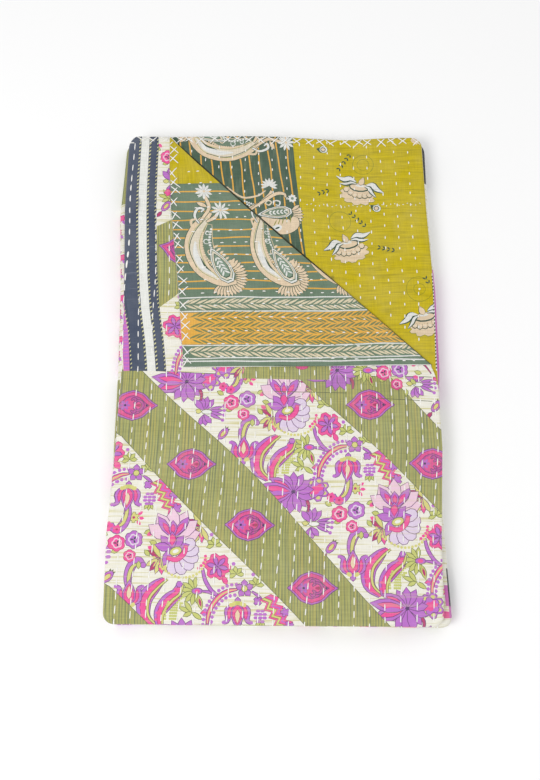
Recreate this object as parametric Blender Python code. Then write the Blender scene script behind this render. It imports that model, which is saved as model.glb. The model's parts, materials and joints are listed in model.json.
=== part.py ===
"""Kantha quilt folded into a packet, with the far right corner of its top layer turned back.

Metres, +Z up. +Y is the packet's length, away from the viewer, and +X its width. The origin lies under
the middle of the packet, on the surface that it rests on.

The quilt is one sheet. It is laid out flat, with u across it and v along it, as a mesh of triangles whose
edges follow the fold lines. Every point is then folded three times: the loose corner over its diagonal,
the length into four layers and the width into four panels. Face A is outside, and face B shows where the
corner is turned back.
"""

import math

import bpy
import numpy as np
from mathutils.geometry import delaunay_2d_cdt

# Driving sizes of the packet
PACKET_WIDTH = 0.360
PACKET_LENGTH = 0.576
CLOTH = 0.0012  # thickness of the sheet between its quilting ridges
LAYER_GAP = 0.0005
PANEL_GAP = 0.0007
CORNER_RADIUS = 0.012  # seen from above

# Lines of points on the flat sheet
PANEL_FOLD_STEPS = 5
OUTER_FOLD_STEPS = 4
INNER_FOLD_STEPS = 3
CROSS_LINES = 7  # over the packet's length, on the stations of its sides
LONG_LINES = 5  # over its width
LINE_CLEARANCE = 0.004

# Quilting: the rows of running stitch run along v
ROW_PITCH = 0.0165
FIRST_ROW = 0.0088
RIDGE = 0.00042  # how far the cloth swells between two rows

# The turned-back corner: where its diagonal meets the far edge and the right edge, and where its tip lies
TURN_ON_FAR_EDGE = 0.307
TURN_ON_RIGHT_EDGE = 0.289
TIP_FROM_RIGHT = 0.2856
TIP_FROM_FAR = 0.2925
TURN_GAP = 0.0009
STRIP_CLEARANCE = 0.0025
TURN_POINT_PITCH = 0.012

# The soft crease in the top layer, just under the turned-back corner
CREASE_FROM_FAR = 0.319
CREASE_HALF_WIDTH = 0.008
CREASE_HEIGHT = 0.0011
CREASE_REACH = 0.150  # from the right edge

# Slow swell of the whole packet
SWELL = 0.008
SWELL_PITCH = (0.34, 0.50)

# Waves along the far edges
WAVE_HEIGHT = 0.0012
WAVE_PITCH = 0.19

# How far each side reaches past the packet's width, in millimetres, at even stations from far to near.
# Columns: side of the packet, then the stations.
SIDES = (
    ("right", -1.0, -0.5, 3.0, 3.3, 5.5, 1.0, 0.0),  # free edge of the top panel
    ("left", 0.0, 1.0, -3.0, -5.0, -3.0, 2.0, 1.0),  # fold between panels 1 and 2
    ("right", 2.0, 1.0, 9.0, 10.5, 2.0, 6.5, 8.0),  # fold between panels 2 and 3
    ("left", 4.0, 9.0, 5.0, 1.0, 1.0, -2.0, -2.0),  # fold between panels 3 and 4
    ("right", -2.0, 0.0, -1.0, 2.0, -2.0, 0.0, 3.0),  # free edge of the bottom panel
)

# How far each panel's ends reach past the packet's length, in millimetres.
# Columns: far edge of the first layer, near folds, far fold, far edge of the second layer.
ENDS = (
    (0.0, 0.0, -1.5, -1.0),
    (-1.0, -1.5, 0.5, -1.5),
    (0.5, -0.5, -1.0, 1.0),
    (-1.0, -2.0, 0.0, -0.5),
)

# The second layer's far edge draws back in a shallow bay, seen beside the turned-back corner
BAY_FROM_RIGHT = 0.092
BAY_HALF_WIDTH = 0.052
BAY_DEPTH = 0.0042

LAYER_PITCH = CLOTH + LAYER_GAP
SLAB = 3 * LAYER_PITCH + CLOTH  # four layers
PANEL_RADIUS = (SLAB + PANEL_GAP) / 2
TURN_RADIUS = (CLOTH + TURN_GAP) / 2

PRINT_COLOUR = (0.55, 0.50, 0.22, 1.0)
ROUGHNESS = 0.85


def straight(length):
    return length, 0.0


def turn(radius):
    """A half turn: to the left of the way walked where the radius is positive, or else to the right."""
    return math.pi * abs(radius), radius


def length_legs():
    """The section along the length: outer near fold, far fold, inner near fold."""
    outer, inner = 1.5 * LAYER_PITCH, 0.5 * LAYER_PITCH
    near = PACKET_LENGTH - outer - CLOTH / 2
    middle = near - inner - CLOTH / 2
    return (
        straight(near),
        turn(outer),
        straight(middle),
        turn(inner),
        straight(middle),
        turn(-inner),
        straight(near),
    )


def width_legs():
    """The section across the width: four panels, folded left, right and left again."""
    nose = PANEL_RADIUS + SLAB / 2
    outer = PACKET_WIDTH - nose
    inner = PACKET_WIDTH - 2 * nose
    return (
        straight(outer),
        turn(PANEL_RADIUS),
        straight(inner),
        turn(-PANEL_RADIUS),
        straight(inner),
        turn(PANEL_RADIUS),
        straight(outer),
    )


LENGTH_LEGS = length_legs()
WIDTH_LEGS = width_legs()
FLAT_LENGTH = sum(length for length, radius in LENGTH_LEGS)
FLAT_WIDTH = sum(length for length, radius in WIDTH_LEGS)


def walk(legs, start, s, w):
    """Places at s along a section and w out from its middle, for a section that sets off towards -a."""
    place = np.zeros((2, len(s)))
    at, heading, begun = np.array(start), math.pi, 0.0
    for number, (length, radius) in enumerate(legs):
        first, last = number == 0, number == len(legs) - 1
        here = (first | (s >= begun)) & (last | (s < begun + length))
        run = s[here] - begun
        out = np.array((math.sin(heading), -math.cos(heading)))
        if radius:
            centre = at - out * radius
            angle = heading + run / radius
            place[:, here] = centre[:, None] + np.array((np.sin(angle), -np.cos(angle))) * (radius + w[here])
            at = centre - out * radius
            heading += math.pi * math.copysign(1, radius)
        else:
            along = np.array((math.cos(heading), math.sin(heading)))
            place[:, here] = at[:, None] + along[:, None] * run + out[:, None] * w[here]
            at = at + along * length
        begun += length
    return place


def fold_middles(legs):
    """Where the sheet starts, is folded and ends, along one side of the flat sheet."""
    ends = np.cumsum([0.0] + [length for length, radius in legs])
    middles = (ends[1:-1:2] + ends[2::2]) / 2
    return np.concatenate([ends[:1], middles, ends[-1:]])


def diagonal():
    """The fold of the corner: its unit normal away from the corner, the way along it, and its distance."""
    across, down = TURN_ON_FAR_EDGE, TURN_ON_RIGHT_EDGE
    span = math.hypot(across, down)
    return np.array((down, across)) / span, np.array((across, -down)) / span, across * down / span


def past_diagonal(u, v):
    """How far a point of the flat sheet lies past the diagonal, towards the corner."""
    normal, along, distance = diagonal()
    return distance - (u * normal[0] + v * normal[1])


def bared(u, v):
    """Whether a point of the second layer shows beside the turned-back corner."""
    return past_diagonal(u, FLAT_LENGTH - v) > STRIP_CLEARANCE


def turn_corner(u, v, w):
    """Fold the corner over face A. It lies slightly drawn in, so that its tip ends where it is measured."""
    normal, along, distance = diagonal()
    past = past_diagonal(u, v)
    tip = np.array((TIP_FROM_RIGHT, TIP_FROM_FAR))
    flat = distance - math.pi * TURN_RADIUS
    draw = (tip @ normal - distance) / flat
    slide = (tip @ along) / flat
    angle = np.clip(past / TURN_RADIUS, 0, math.pi)
    beyond = np.maximum(past - math.pi * TURN_RADIUS, 0)
    reach = (TURN_RADIUS - w) * np.sin(angle) - draw * beyond
    turned = past > 0
    shift = np.where(turned, past - reach, 0)
    aside = np.where(turned, slide * beyond, 0)
    height = np.where(turned, TURN_RADIUS - (TURN_RADIUS - w) * np.cos(angle), w)
    return u + shift * normal[0] + aside * along[0], v + shift * normal[1] + aside * along[1], height


def side_reach(u, y):
    """How far the sides move a point along X."""
    stations = np.linspace(PACKET_LENGTH / 2, -PACKET_LENGTH / 2, len(SIDES[0]) - 1)
    rows = []
    for side, *reaches in SIDES:
        sign = 1 if side == "right" else -1
        rows.append(sign * np.interp(-y, -stations, np.array(reaches) / 1000))
    return between(u, fold_middles(WIDTH_LEGS), rows)


def between(s, stations, rows):
    """Rows of values, one for each station, read for each point at its own place between the stations."""
    place = np.interp(s, stations, np.arange(len(stations)))
    low = np.minimum(place.astype(int), len(stations) - 2)
    part = place - low
    rows = np.array(rows)
    number = np.arange(len(s))
    return rows[low, number] * (1 - part) + rows[low + 1, number] * part


def by_panel(u, values):
    """A value for each panel. It fades out at the panels' folds, where the layers lie nested."""
    folds = fold_middles(WIDTH_LEGS)
    middles = (folds[:-1] + folds[1:]) / 2
    marks = np.concatenate([folds, middles])
    levels = np.concatenate([values[:1], (0.0, 0.0, 0.0), values[-1:], values])
    order = np.argsort(marks)
    return np.interp(u, marks[order], levels[order])


def end_reach(u, v):
    """How far the ends move a point along Y."""
    far, near, fold, second = (by_panel(u, np.array(column) / 1000) for column in zip(*ENDS))
    wave = WAVE_HEIGHT * np.sin(u * math.tau / WAVE_PITCH) * by_panel(u, np.ones(len(ENDS)))
    bay = BAY_DEPTH * np.exp(-(((u - BAY_FROM_RIGHT) / BAY_HALF_WIDTH) ** 2))
    rows = (far + wave, -near, fold, -near, second + wave / 2 - bay)
    return between(v, fold_middles(LENGTH_LEGS), rows)


def rounded(x, y):
    """Draw the packet's corners in, seen from above, by as much as a quarter circle does at its middle."""
    across = np.maximum(np.abs(x) - (PACKET_WIDTH / 2 - CORNER_RADIUS), 0)
    down = np.maximum(np.abs(y) - (PACKET_LENGTH / 2 - CORNER_RADIUS), 0)
    drawn = (1 - math.sqrt(0.5)) * across * down / CORNER_RADIUS
    return x - np.sign(x) * drawn, y - np.sign(y) * drawn


def relief(u, v, w):
    """Swell the cloth between its rows of stitches where it shows, and lift the crease."""
    row = (u - FIRST_ROW) / ROW_PITCH
    ridge = RIDGE * np.abs(np.sin(row * math.pi))
    first, second = LENGTH_LEGS[0][0], FLAT_LENGTH - LENGTH_LEGS[-1][0]
    top_panel = u < WIDTH_LEGS[0][0]
    past = past_diagonal(u, v)
    turned, beyond = past > -CLOTH, past > math.pi * TURN_RADIUS + CLOTH
    face_a = (w > 0) & top_panel & (v < first) & ~turned
    face_b = (w < 0) & top_panel & (((v < first) & beyond) | ((v > second) & bared(u, v)))
    crease = np.exp(-(((v - CREASE_FROM_FAR) / CREASE_HALF_WIDTH) ** 2))
    crease = crease * np.clip((CREASE_REACH - u) / CREASE_REACH, 0, 1) ** 0.5
    lift = np.where(top_panel & (v < first), CREASE_HEIGHT * crease, 0)
    return w + np.where(face_a, ridge, 0) - np.where(face_b, ridge, 0) + lift


def folded(u, v, w):
    """Places in the packet of points of the flat sheet, at w above its middle on face A's side."""
    across, down, height = turn_corner(u, v, relief(u, v, w))
    y, level = walk(LENGTH_LEGS, (PACKET_LENGTH / 2, 1.5 * LAYER_PITCH), down, height)
    x, z = walk(WIDTH_LEGS, (PACKET_WIDTH / 2, 6 * PANEL_RADIUS + SLAB / 2), across, level)
    x, y = rounded(x, y)
    x, y = x + side_reach(across, y), y + end_reach(across, down)
    swell = np.sin(x * math.tau / SWELL_PITCH[0]) * np.cos(y * math.tau / SWELL_PITCH[1])
    return np.stack((x, y, z * (1 + SWELL * swell)), axis=-1)


def fold_steps(radius):
    if abs(radius) > 2 * LAYER_PITCH:
        return PANEL_FOLD_STEPS
    return OUTER_FOLD_STEPS if abs(radius) > LAYER_PITCH else INNER_FOLD_STEPS


def stations(legs, start, places):
    """Lines of the flat sheet that its points lie on, a list for each leg. Straight legs share their places."""
    lines, begun, at, way = [], 0.0, start, -1
    for length, radius in legs:
        if radius:
            lines.append(begun + np.linspace(0, length, fold_steps(radius) + 1))
            way = -way
        else:
            runs = np.sort((places - at) * way)
            inside = runs[(runs > LINE_CLEARANCE) & (runs < length - LINE_CLEARANCE)]
            lines.append(begun + np.concatenate([[0.0], inside, [length]]))
            at += way * length
        begun += length
    return lines


def places(half, count):
    """Even places over a length or width, and where its round corners begin."""
    corner = half - CORNER_RADIUS
    return np.concatenate([np.linspace(-half, half, count), (-corner, corner)])


def flat_points():
    """Points of the flat sheet, and the lines between them that its triangles must keep."""
    half_length, half_width = PACKET_LENGTH / 2, PACKET_WIDTH / 2
    along = stations(LENGTH_LEGS, half_length, places(half_length, CROSS_LINES))
    wide = stations(WIDTH_LEGS, half_width, places(half_width, LONG_LINES))
    rows = np.arange(FIRST_ROW, WIDTH_LEGS[0][0] - LINE_CLEARANCE, ROW_PITCH / 2)
    quilted = np.concatenate([wide[0][:1], rows, wide[0][-1:]])
    creased = CREASE_FROM_FAR + CREASE_HALF_WIDTH * np.array((-1.6, -0.7, 0.0, 0.7, 1.6))
    near_crease = quilted[quilted < CREASE_REACH + ROW_PITCH]
    points = set()
    for v_lines in along:
        for u_lines in wide:
            points.update((round(u, 7), round(v, 7)) for u in u_lines for v in v_lines)
    points.update((round(u, 7), round(v, 7)) for u in quilted for v in along[0])
    points.update((round(u, 7), round(v, 7)) for u in near_crease for v in creased)
    points.update((round(u, 7), round(v, 7)) for u in quilted for v in along[6] if bared(u, v))
    clear = [point for point in points if clear_of_turn(*point)]
    kept = [line for legs, lines in ((wide, 0), (along, 1)) for line in arc_lines(legs, lines)]
    return clear, kept


def arc_lines(legs, axis):
    """The lines of the flat sheet that bend, as (axis, place along it)."""
    return [(axis, round(place, 7)) for lines in legs[1::2] for place in lines]


def clear_of_turn(u, v):
    """Whether a point keeps off the strip that bends round the diagonal."""
    past = past_diagonal(u, v)
    corner = u < 1e-6 and v < 1e-6
    return corner or not -STRIP_CLEARANCE < past < math.pi * TURN_RADIUS + STRIP_CLEARANCE


def turn_lines():
    """Rows of points along the diagonal, across the strip that bends."""
    distance = diagonal()[2]
    count = round(math.hypot(TURN_ON_FAR_EDGE, TURN_ON_RIGHT_EDGE) / TURN_POINT_PITCH)
    rows = []
    for past in np.linspace(0, math.pi * TURN_RADIUS, OUTER_FOLD_STEPS + 1):
        scale = 1 - past / distance
        part = np.linspace(0, 1, count + 1)
        rows.append(np.stack((TURN_ON_FAR_EDGE * scale * (1 - part), TURN_ON_RIGHT_EDGE * scale * part), -1))
    return rows


def triangulated():
    """The flat sheet as points and triangles that face A's way."""
    points, kept = flat_points()
    edges = []
    for axis, place in kept:
        on_line = [number for number, point in enumerate(points) if abs(point[axis] - place) < 1e-6]
        on_line.sort(key=lambda number, other=1 - axis: points[number][other])
        edges += zip(on_line[:-1], on_line[1:])
    for row in turn_lines():
        first = len(points)
        points += [tuple(point) for point in row]
        edges += [(first + step, first + step + 1) for step in range(len(row) - 1)]
    corners = [points.index(corner) for corner in sheet_corners()]
    edges += zip(corners, corners[1:] + corners[:1])
    flat, _, faces, *_ = delaunay_2d_cdt(points, edges, [], 1, 1e-7)
    flat = np.array([tuple(point) for point in flat])
    faces = np.array(faces)
    first, second, third = (flat[faces[:, corner]] for corner in range(3))
    turning = np.cross(second - first, third - first)
    faces[turning < 0] = faces[turning < 0][:, ::-1]
    return flat, faces


def sheet_corners():
    wide, long = round(FLAT_WIDTH, 7), round(FLAT_LENGTH, 7)
    return (0.0, 0.0), (wide, 0.0), (wide, long), (0.0, long)


def rim(faces):
    """Edges of the flat sheet's outline, each in its triangle's direction."""
    directed = {(face[side], face[(side + 1) % 3]) for face in faces.tolist() for side in range(3)}
    return [(start, end) for start, end in directed if (end, start) not in directed]


def quilt_mesh():
    """The folded sheet, closed by its rim, centred over the origin."""
    flat, faces = triangulated()
    u, v = flat.T
    half = np.full(len(flat), CLOTH / 2)
    points = np.concatenate([folded(u, v, half), folded(u, v, -half)])
    low, high = points.min(axis=0), points.max(axis=0)
    points -= ((low[0] + high[0]) / 2, (low[1] + high[1]) / 2, low[2])
    count = len(flat)
    sides = faces.tolist() + (faces[:, ::-1] + count).tolist()
    sides += [(end, start, start + count, end + count) for start, end in sorted(rim(faces))]
    mesh = bpy.data.meshes.new("quilt")
    mesh.from_pydata(points.tolist(), [], sides)
    mesh.validate()
    return mesh


def cloth_material():
    material = bpy.data.materials.new("quilted cotton")
    material.use_nodes = True
    shader = material.node_tree.nodes["Principled BSDF"]
    shader.inputs["Base Color"].default_value = PRINT_COLOUR
    shader.inputs["Roughness"].default_value = ROUGHNESS
    shader.inputs["Metallic"].default_value = 0.0
    return material


def main():
    for old in list(bpy.data.objects):
        bpy.data.objects.remove(old)
    quilt = bpy.data.objects.new("quilt", quilt_mesh())
    quilt.data.materials.append(cloth_material())
    bpy.context.scene.collection.objects.link(quilt)


main()
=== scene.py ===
import cmath
import json
import math

import bpy
import numpy as np
from mathutils import Matrix, Vector
from mathutils.geometry import delaunay_2d_cdt

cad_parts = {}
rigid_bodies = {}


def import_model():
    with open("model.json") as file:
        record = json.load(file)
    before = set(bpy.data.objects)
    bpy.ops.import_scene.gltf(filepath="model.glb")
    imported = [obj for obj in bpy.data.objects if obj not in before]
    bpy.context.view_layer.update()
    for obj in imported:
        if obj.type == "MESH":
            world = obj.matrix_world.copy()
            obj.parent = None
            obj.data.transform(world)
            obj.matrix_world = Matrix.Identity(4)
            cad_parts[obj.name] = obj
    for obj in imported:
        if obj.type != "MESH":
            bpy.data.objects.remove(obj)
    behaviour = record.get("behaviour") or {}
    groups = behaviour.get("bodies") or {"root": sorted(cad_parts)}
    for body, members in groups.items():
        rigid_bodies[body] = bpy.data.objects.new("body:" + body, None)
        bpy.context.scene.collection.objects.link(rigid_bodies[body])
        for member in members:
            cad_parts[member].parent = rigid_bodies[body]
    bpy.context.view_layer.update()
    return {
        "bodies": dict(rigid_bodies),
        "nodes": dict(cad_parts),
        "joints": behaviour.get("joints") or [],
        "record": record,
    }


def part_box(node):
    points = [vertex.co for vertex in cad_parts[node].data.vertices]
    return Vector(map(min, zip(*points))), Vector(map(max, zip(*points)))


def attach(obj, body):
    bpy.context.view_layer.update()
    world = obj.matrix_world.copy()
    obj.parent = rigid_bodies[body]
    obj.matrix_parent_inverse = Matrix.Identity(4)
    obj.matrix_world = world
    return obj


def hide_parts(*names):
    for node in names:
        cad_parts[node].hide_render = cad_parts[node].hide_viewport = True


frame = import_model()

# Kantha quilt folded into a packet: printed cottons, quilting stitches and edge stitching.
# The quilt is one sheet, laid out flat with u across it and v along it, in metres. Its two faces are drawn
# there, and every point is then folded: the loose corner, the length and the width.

# The folded packet, in metres
PACKET_WIDTH = 0.360
PACKET_LENGTH = 0.576
CLOTH = 0.0012
LAYER_GAP = 0.0005
PANEL_GAP = 0.0007
CORNER_RADIUS = 0.012
TURN_ON_FAR_EDGE = 0.307
TURN_ON_RIGHT_EDGE = 0.289
TIP_FROM_RIGHT = 0.2856
TIP_FROM_FAR = 0.2925
TURN_GAP = 0.0009
EDGE_BOW = 0.0055  # how far the turned corner's side edge is stretched outwards
CREASE_FROM_FAR = 0.319
CREASE_HALF_WIDTH = 0.008
CREASE_HEIGHT = 0.0011
CREASE_REACH = 0.150
SWELL = 0.008
SWELL_PITCH = (0.34, 0.50)
WAVE_HEIGHT = 0.0012
WAVE_PITCH = 0.19
BAY_FROM_RIGHT = 0.092
BAY_HALF_WIDTH = 0.052
BAY_DEPTH = 0.0042

# How far each side reaches past the packet's width, in millimetres, at even stations from far to near
SIDES = (
    ("right", -5.5, -2.3, 3.0, 3.3, 5.5, 1.0, 0.0),  # free edge of the top panel
    ("left", 0.0, 1.0, -3.0, -5.0, -3.0, 2.0, 1.0),  # fold between panels 1 and 2
    ("right", 0.0, 1.2, 6.8, 8.1, 3.0, 6.5, 11.5),  # fold between panels 2 and 3
    ("left", 4.0, 8.2, 3.0, 0.8, 1.0, -2.0, -2.0),  # fold between panels 3 and 4
    ("right", -2.0, 0.0, -1.0, 2.0, -2.0, 0.0, 3.0),  # free edge of the bottom panel
)

# How far each panel's ends reach past the packet's length, in millimetres: far edge of the first layer,
# near folds, far fold, far edge of the second layer
ENDS = (
    (0.0, 0.0, -1.5, 3.0),
    (-1.0, -1.5, 0.5, -1.5),
    (0.5, -0.5, -1.0, 1.0),
    (-1.0, -2.0, 0.0, -0.5),
)

LAYER_PITCH = CLOTH + LAYER_GAP
SLAB = 3 * LAYER_PITCH + CLOTH
PANEL_RADIUS = (SLAB + PANEL_GAP) / 2
TURN_RADIUS = (CLOTH + TURN_GAP) / 2

# Quilting: rows of running stitch along v
ROW_PITCH = 0.0165
FIRST_ROW = 0.0088
ROW_DRIFT = 0.0075  # how far the rows have drifted across the sheet by its other end
ROW_SWAY = 0.0032  # how far they sway to either side
ROW_SHEAR = 0.062  # how much they lean left on the near half of the first layer
ROW_RIPPLE = 0.0008
RIDGE = 0.00055  # how far the cloth swells between two rows
STITCH_PITCH = 0.0140
STITCH_LONG = 0.0106  # on face A
STITCH_SHORT = 0.0052  # on face B
THREAD_WIDTH = 0.0014
THREAD_HEIGHT = 0.0005
HEM = 0.011
HEM_HEIGHT = 0.0003
RUMPLE_HEIGHT = 0.00022

# Crossed stitches over the far edges
CROSS_PITCH = 0.0146
CROSS_HALF_WIDTH = 0.0056
CROSS_DEPTH = 0.0102

# Lines of points on the flat sheet
PANEL_FOLD_STEPS = 8
OUTER_FOLD_STEPS = 6
INNER_FOLD_STEPS = 4
LINE_CLEARANCE = 0.0015
SURFACE_PITCH = 0.0075  # between the lines across the layers that show
STRIP_CLEARANCE = 0.0015
TURN_POINT_PITCH = 0.006
RIM_BULGE = 0.0003
FOLD_SIGHT = 0.012  # how far round a side fold the cloth can be seen
MERGE = 1e-5


def length_legs():
    """The section along the length, as (length, radius) of each leg: straight where the radius is 0."""
    outer, inner = 1.5 * LAYER_PITCH, 0.5 * LAYER_PITCH
    near = PACKET_LENGTH - outer - CLOTH / 2
    middle = near - inner - CLOTH / 2
    half = math.pi
    return (
        (near, 0.0),
        (half * outer, outer),
        (middle, 0.0),
        (half * inner, inner),
        (middle, 0.0),
        (half * inner, -inner),
        (near, 0.0),
    )


def width_legs():
    """The section across the width: four panels, folded left, right and left again."""
    nose = PANEL_RADIUS + SLAB / 2
    outer = PACKET_WIDTH - nose
    inner = PACKET_WIDTH - 2 * nose
    fold = math.pi * PANEL_RADIUS
    return (
        (outer, 0.0),
        (fold, PANEL_RADIUS),
        (inner, 0.0),
        (fold, -PANEL_RADIUS),
        (inner, 0.0),
        (fold, PANEL_RADIUS),
        (outer, 0.0),
    )


LENGTH_LEGS = length_legs()
WIDTH_LEGS = width_legs()
FLAT_LENGTH = sum(length for length, radius in LENGTH_LEGS)
FLAT_WIDTH = sum(length for length, radius in WIDTH_LEGS)


def walk(legs, start, s, w):
    """Places at s along a section and w out from its middle, for a section that sets off towards -a."""
    place = np.zeros((2, len(s)))
    at, heading, begun = np.array(start), math.pi, 0.0
    for number, (length, radius) in enumerate(legs):
        first, last = number == 0, number == len(legs) - 1
        here = (first | (s >= begun)) & (last | (s < begun + length))
        run = s[here] - begun
        out = np.array((math.sin(heading), -math.cos(heading)))
        if radius:
            centre = at - out * radius
            angle = heading + run / radius
            place[:, here] = centre[:, None] + np.array((np.sin(angle), -np.cos(angle))) * (radius + w[here])
            at = centre - out * radius
            heading += math.pi * math.copysign(1, radius)
        else:
            along = np.array((math.cos(heading), math.sin(heading)))
            place[:, here] = at[:, None] + along[:, None] * run + out[:, None] * w[here]
            at = at + along * length
        begun += length
    return place


def fold_middles(legs):
    """Where the sheet starts, is folded and ends, along one side of the flat sheet."""
    ends = np.cumsum([0.0] + [length for length, radius in legs])
    middles = (ends[1:-1:2] + ends[2::2]) / 2
    return np.concatenate([ends[:1], middles, ends[-1:]])


def diagonal():
    """The fold of the corner: its unit normal away from the corner, the way along it, and its distance."""
    across, down = TURN_ON_FAR_EDGE, TURN_ON_RIGHT_EDGE
    span = math.hypot(across, down)
    return np.array((down, across)) / span, np.array((across, -down)) / span, across * down / span


def past_diagonal(u, v):
    """How far a point of the flat sheet lies past the diagonal, towards the corner."""
    normal, along, distance = diagonal()
    return distance - (u * normal[0] + v * normal[1])


def fold_slip(part):
    """How far the diagonal fold lies left of its straight line, from its far end at 0 to its near end at 1."""
    return np.interp(part, (0.0, 0.12, 0.3, 0.9, 1.0), (0.0045, 0.0072, 0.0083, 0.0083, 0.0068))


def slipped(u, v, past, beyond):
    """How far points beside the diagonal fold are drawn left with it."""
    along = diagonal()[1]
    span = math.hypot(TURN_ON_FAR_EDGE, TURN_ON_RIGHT_EDGE)
    part = (TURN_ON_FAR_EDGE * along[0] - (u * along[0] + v * along[1])) / span
    near = np.where(past > 0, 1 - beyond / 0.045, 1 + past / 0.022)
    return fold_slip(part) * np.clip(near, 0, 1) ** 2


def turn_corner(u, v, w):
    """Fold the corner over face A. It lies slightly drawn in, so that its tip ends where it is measured."""
    normal, along, distance = diagonal()
    past = past_diagonal(u, v)
    tip = np.array((TIP_FROM_RIGHT, TIP_FROM_FAR))
    flat = distance - math.pi * TURN_RADIUS
    draw = (tip @ normal - distance) / flat
    slide = (tip @ along) / flat
    angle = np.clip(past / TURN_RADIUS, 0, math.pi)
    beyond = np.maximum(past - math.pi * TURN_RADIUS, 0)
    reach = (TURN_RADIUS - w) * np.sin(angle) - draw * beyond
    turned = past > 0
    shift = np.where(turned, past - reach, 0)
    aside = np.where(turned, slide * beyond, 0)
    height = np.where(turned, TURN_RADIUS - (TURN_RADIUS - w) * np.cos(angle), w)
    bow = EDGE_BOW * (0.5 + 0.5 * np.clip(u / 0.2, 0, 1)) * np.clip(beyond / 0.03, 0, 1)
    bow = bow * np.clip(1 - v / 0.04, 0, 1)
    across = u + shift * normal[0] + aside * along[0] + bow + slipped(u, v, past, beyond)
    return across, v + shift * normal[1] + aside * along[1], height


def between(s, stations, rows):
    """Rows of values, one for each station, read for each point at its own place between the stations."""
    place = np.interp(s, stations, np.arange(len(stations)))
    low = np.minimum(place.astype(int), len(stations) - 2)
    part = place - low
    rows = np.array(rows)
    number = np.arange(len(s))
    return rows[low, number] * (1 - part) + rows[low + 1, number] * part


def side_reach(u, y):
    """How far the sides move a point along X."""
    stations = np.linspace(PACKET_LENGTH / 2, -PACKET_LENGTH / 2, len(SIDES[0]) - 1)
    rows = []
    for side, *reaches in SIDES:
        sign = 1 if side == "right" else -1
        rows.append(sign * np.interp(-y, -stations, np.array(reaches) / 1000))
    return between(u, fold_middles(WIDTH_LEGS), rows)


def by_panel(u, values):
    """A value for each panel. It fades out at the panels' folds, where the layers lie nested."""
    folds = fold_middles(WIDTH_LEGS)
    middles = (folds[:-1] + folds[1:]) / 2
    marks = np.concatenate([folds, middles])
    levels = np.concatenate([values[:1], (0.0, 0.0, 0.0), values[-1:], values])
    order = np.argsort(marks)
    return np.interp(u, marks[order], levels[order])


def end_reach(u, v):
    """How far the ends move a point along Y."""
    far, near, fold, second = (by_panel(u, np.array(column) / 1000) for column in zip(*ENDS))
    wave = WAVE_HEIGHT * np.sin(u * math.tau / WAVE_PITCH) * by_panel(u, np.ones(len(ENDS)))
    bay = BAY_DEPTH * np.exp(-(((u - BAY_FROM_RIGHT) / BAY_HALF_WIDTH) ** 2))
    rows = (far + wave, -near, fold, -near, second + wave / 2 - bay)
    return between(v, fold_middles(LENGTH_LEGS), rows)


def rounded(x, y):
    """Round the packet's corners, seen from above."""
    across = np.maximum(np.abs(x) - (PACKET_WIDTH / 2 - CORNER_RADIUS), 0) / CORNER_RADIUS
    down = np.maximum(np.abs(y) - (PACKET_LENGTH / 2 - CORNER_RADIUS), 0) / CORNER_RADIUS
    drawn_x = across * (1 - np.sqrt(np.clip(1 - down**2 / 2, 0, 1))) * CORNER_RADIUS
    drawn_y = down * (1 - np.sqrt(np.clip(1 - across**2 / 2, 0, 1))) * CORNER_RADIUS
    return x - np.sign(x) * drawn_x, y - np.sign(y) * drawn_y


def row_number(u, v):
    """Which quilting row a point lies on, with the rows' wandering taken out."""
    lean = ROW_SWAY * np.sin(v / 0.085 + 1.1 - u / 0.12)
    lean = lean + ROW_SHEAR * np.clip(u / 0.37, 0, 1) * np.clip(v - 0.33, 0, 0.25)
    lean = lean * np.clip((1.5 - v) / 0.4, 0, 1) + ROW_RIPPLE * np.sin(v / 0.023 + u / 0.02)
    return (u - FIRST_ROW - lean + ROW_DRIFT * v / FLAT_LENGTH) / ROW_PITCH


def relief(u, v, w):
    """Swell the cloth between its rows of stitches where it shows, and lift the crease and the hems."""
    ridge = RIDGE * np.abs(np.sin(row_number(u, v) * math.pi)) ** 0.8
    rumple = np.sin(u / 0.019 + 2 * np.sin(v / 0.047)) * np.sin(v / 0.026 + 1.5 * np.sin(u / 0.06))
    hem = HEM_HEIGHT * np.clip((HEM - np.minimum(v, FLAT_LENGTH - v)) / 0.002, 0, 1)
    first, second = LENGTH_LEGS[0][0], FLAT_LENGTH - LENGTH_LEGS[-1][0]
    top_panel = u < WIDTH_LEGS[0][0]
    past = past_diagonal(u, v)
    turned, beyond = past > -CLOTH, past > math.pi * TURN_RADIUS + CLOTH
    face_a = (w > 0) & top_panel & (v < first) & ~turned
    shows = past_diagonal(u, FLAT_LENGTH - v) > STRIP_CLEARANCE
    face_b = (w < 0) & top_panel & (((v < first) & beyond) | ((v > second) & shows))
    crease = np.exp(-(((v - CREASE_FROM_FAR) / CREASE_HALF_WIDTH) ** 2))
    crease = crease * np.clip((CREASE_REACH - u) / CREASE_REACH, 0, 1) ** 0.5
    lift = np.where(top_panel & (v < first), CREASE_HEIGHT * crease, 0)
    raised = ridge + RUMPLE_HEIGHT * rumple + hem
    return w + np.where(face_a, raised, 0) - np.where(face_b, raised, 0) + lift


def folded(u, v, w):
    """Places in the packet of points of the flat sheet, at w above its middle on face A's side."""
    across, down, height = turn_corner(u, v, relief(u, v, w))
    y, level = walk(LENGTH_LEGS, (PACKET_LENGTH / 2, 1.5 * LAYER_PITCH), down, height)
    x, z = walk(WIDTH_LEGS, (PACKET_WIDTH / 2, 6 * PANEL_RADIUS + SLAB / 2), across, level)
    x, y = rounded(x, y)
    x, y = x + side_reach(across, y), y + end_reach(across, down)
    swell = np.sin(x * math.tau / SWELL_PITCH[0]) * np.cos(y * math.tau / SWELL_PITCH[1])
    return np.stack((x, y, z * (1 + SWELL * swell)), axis=-1)


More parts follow.
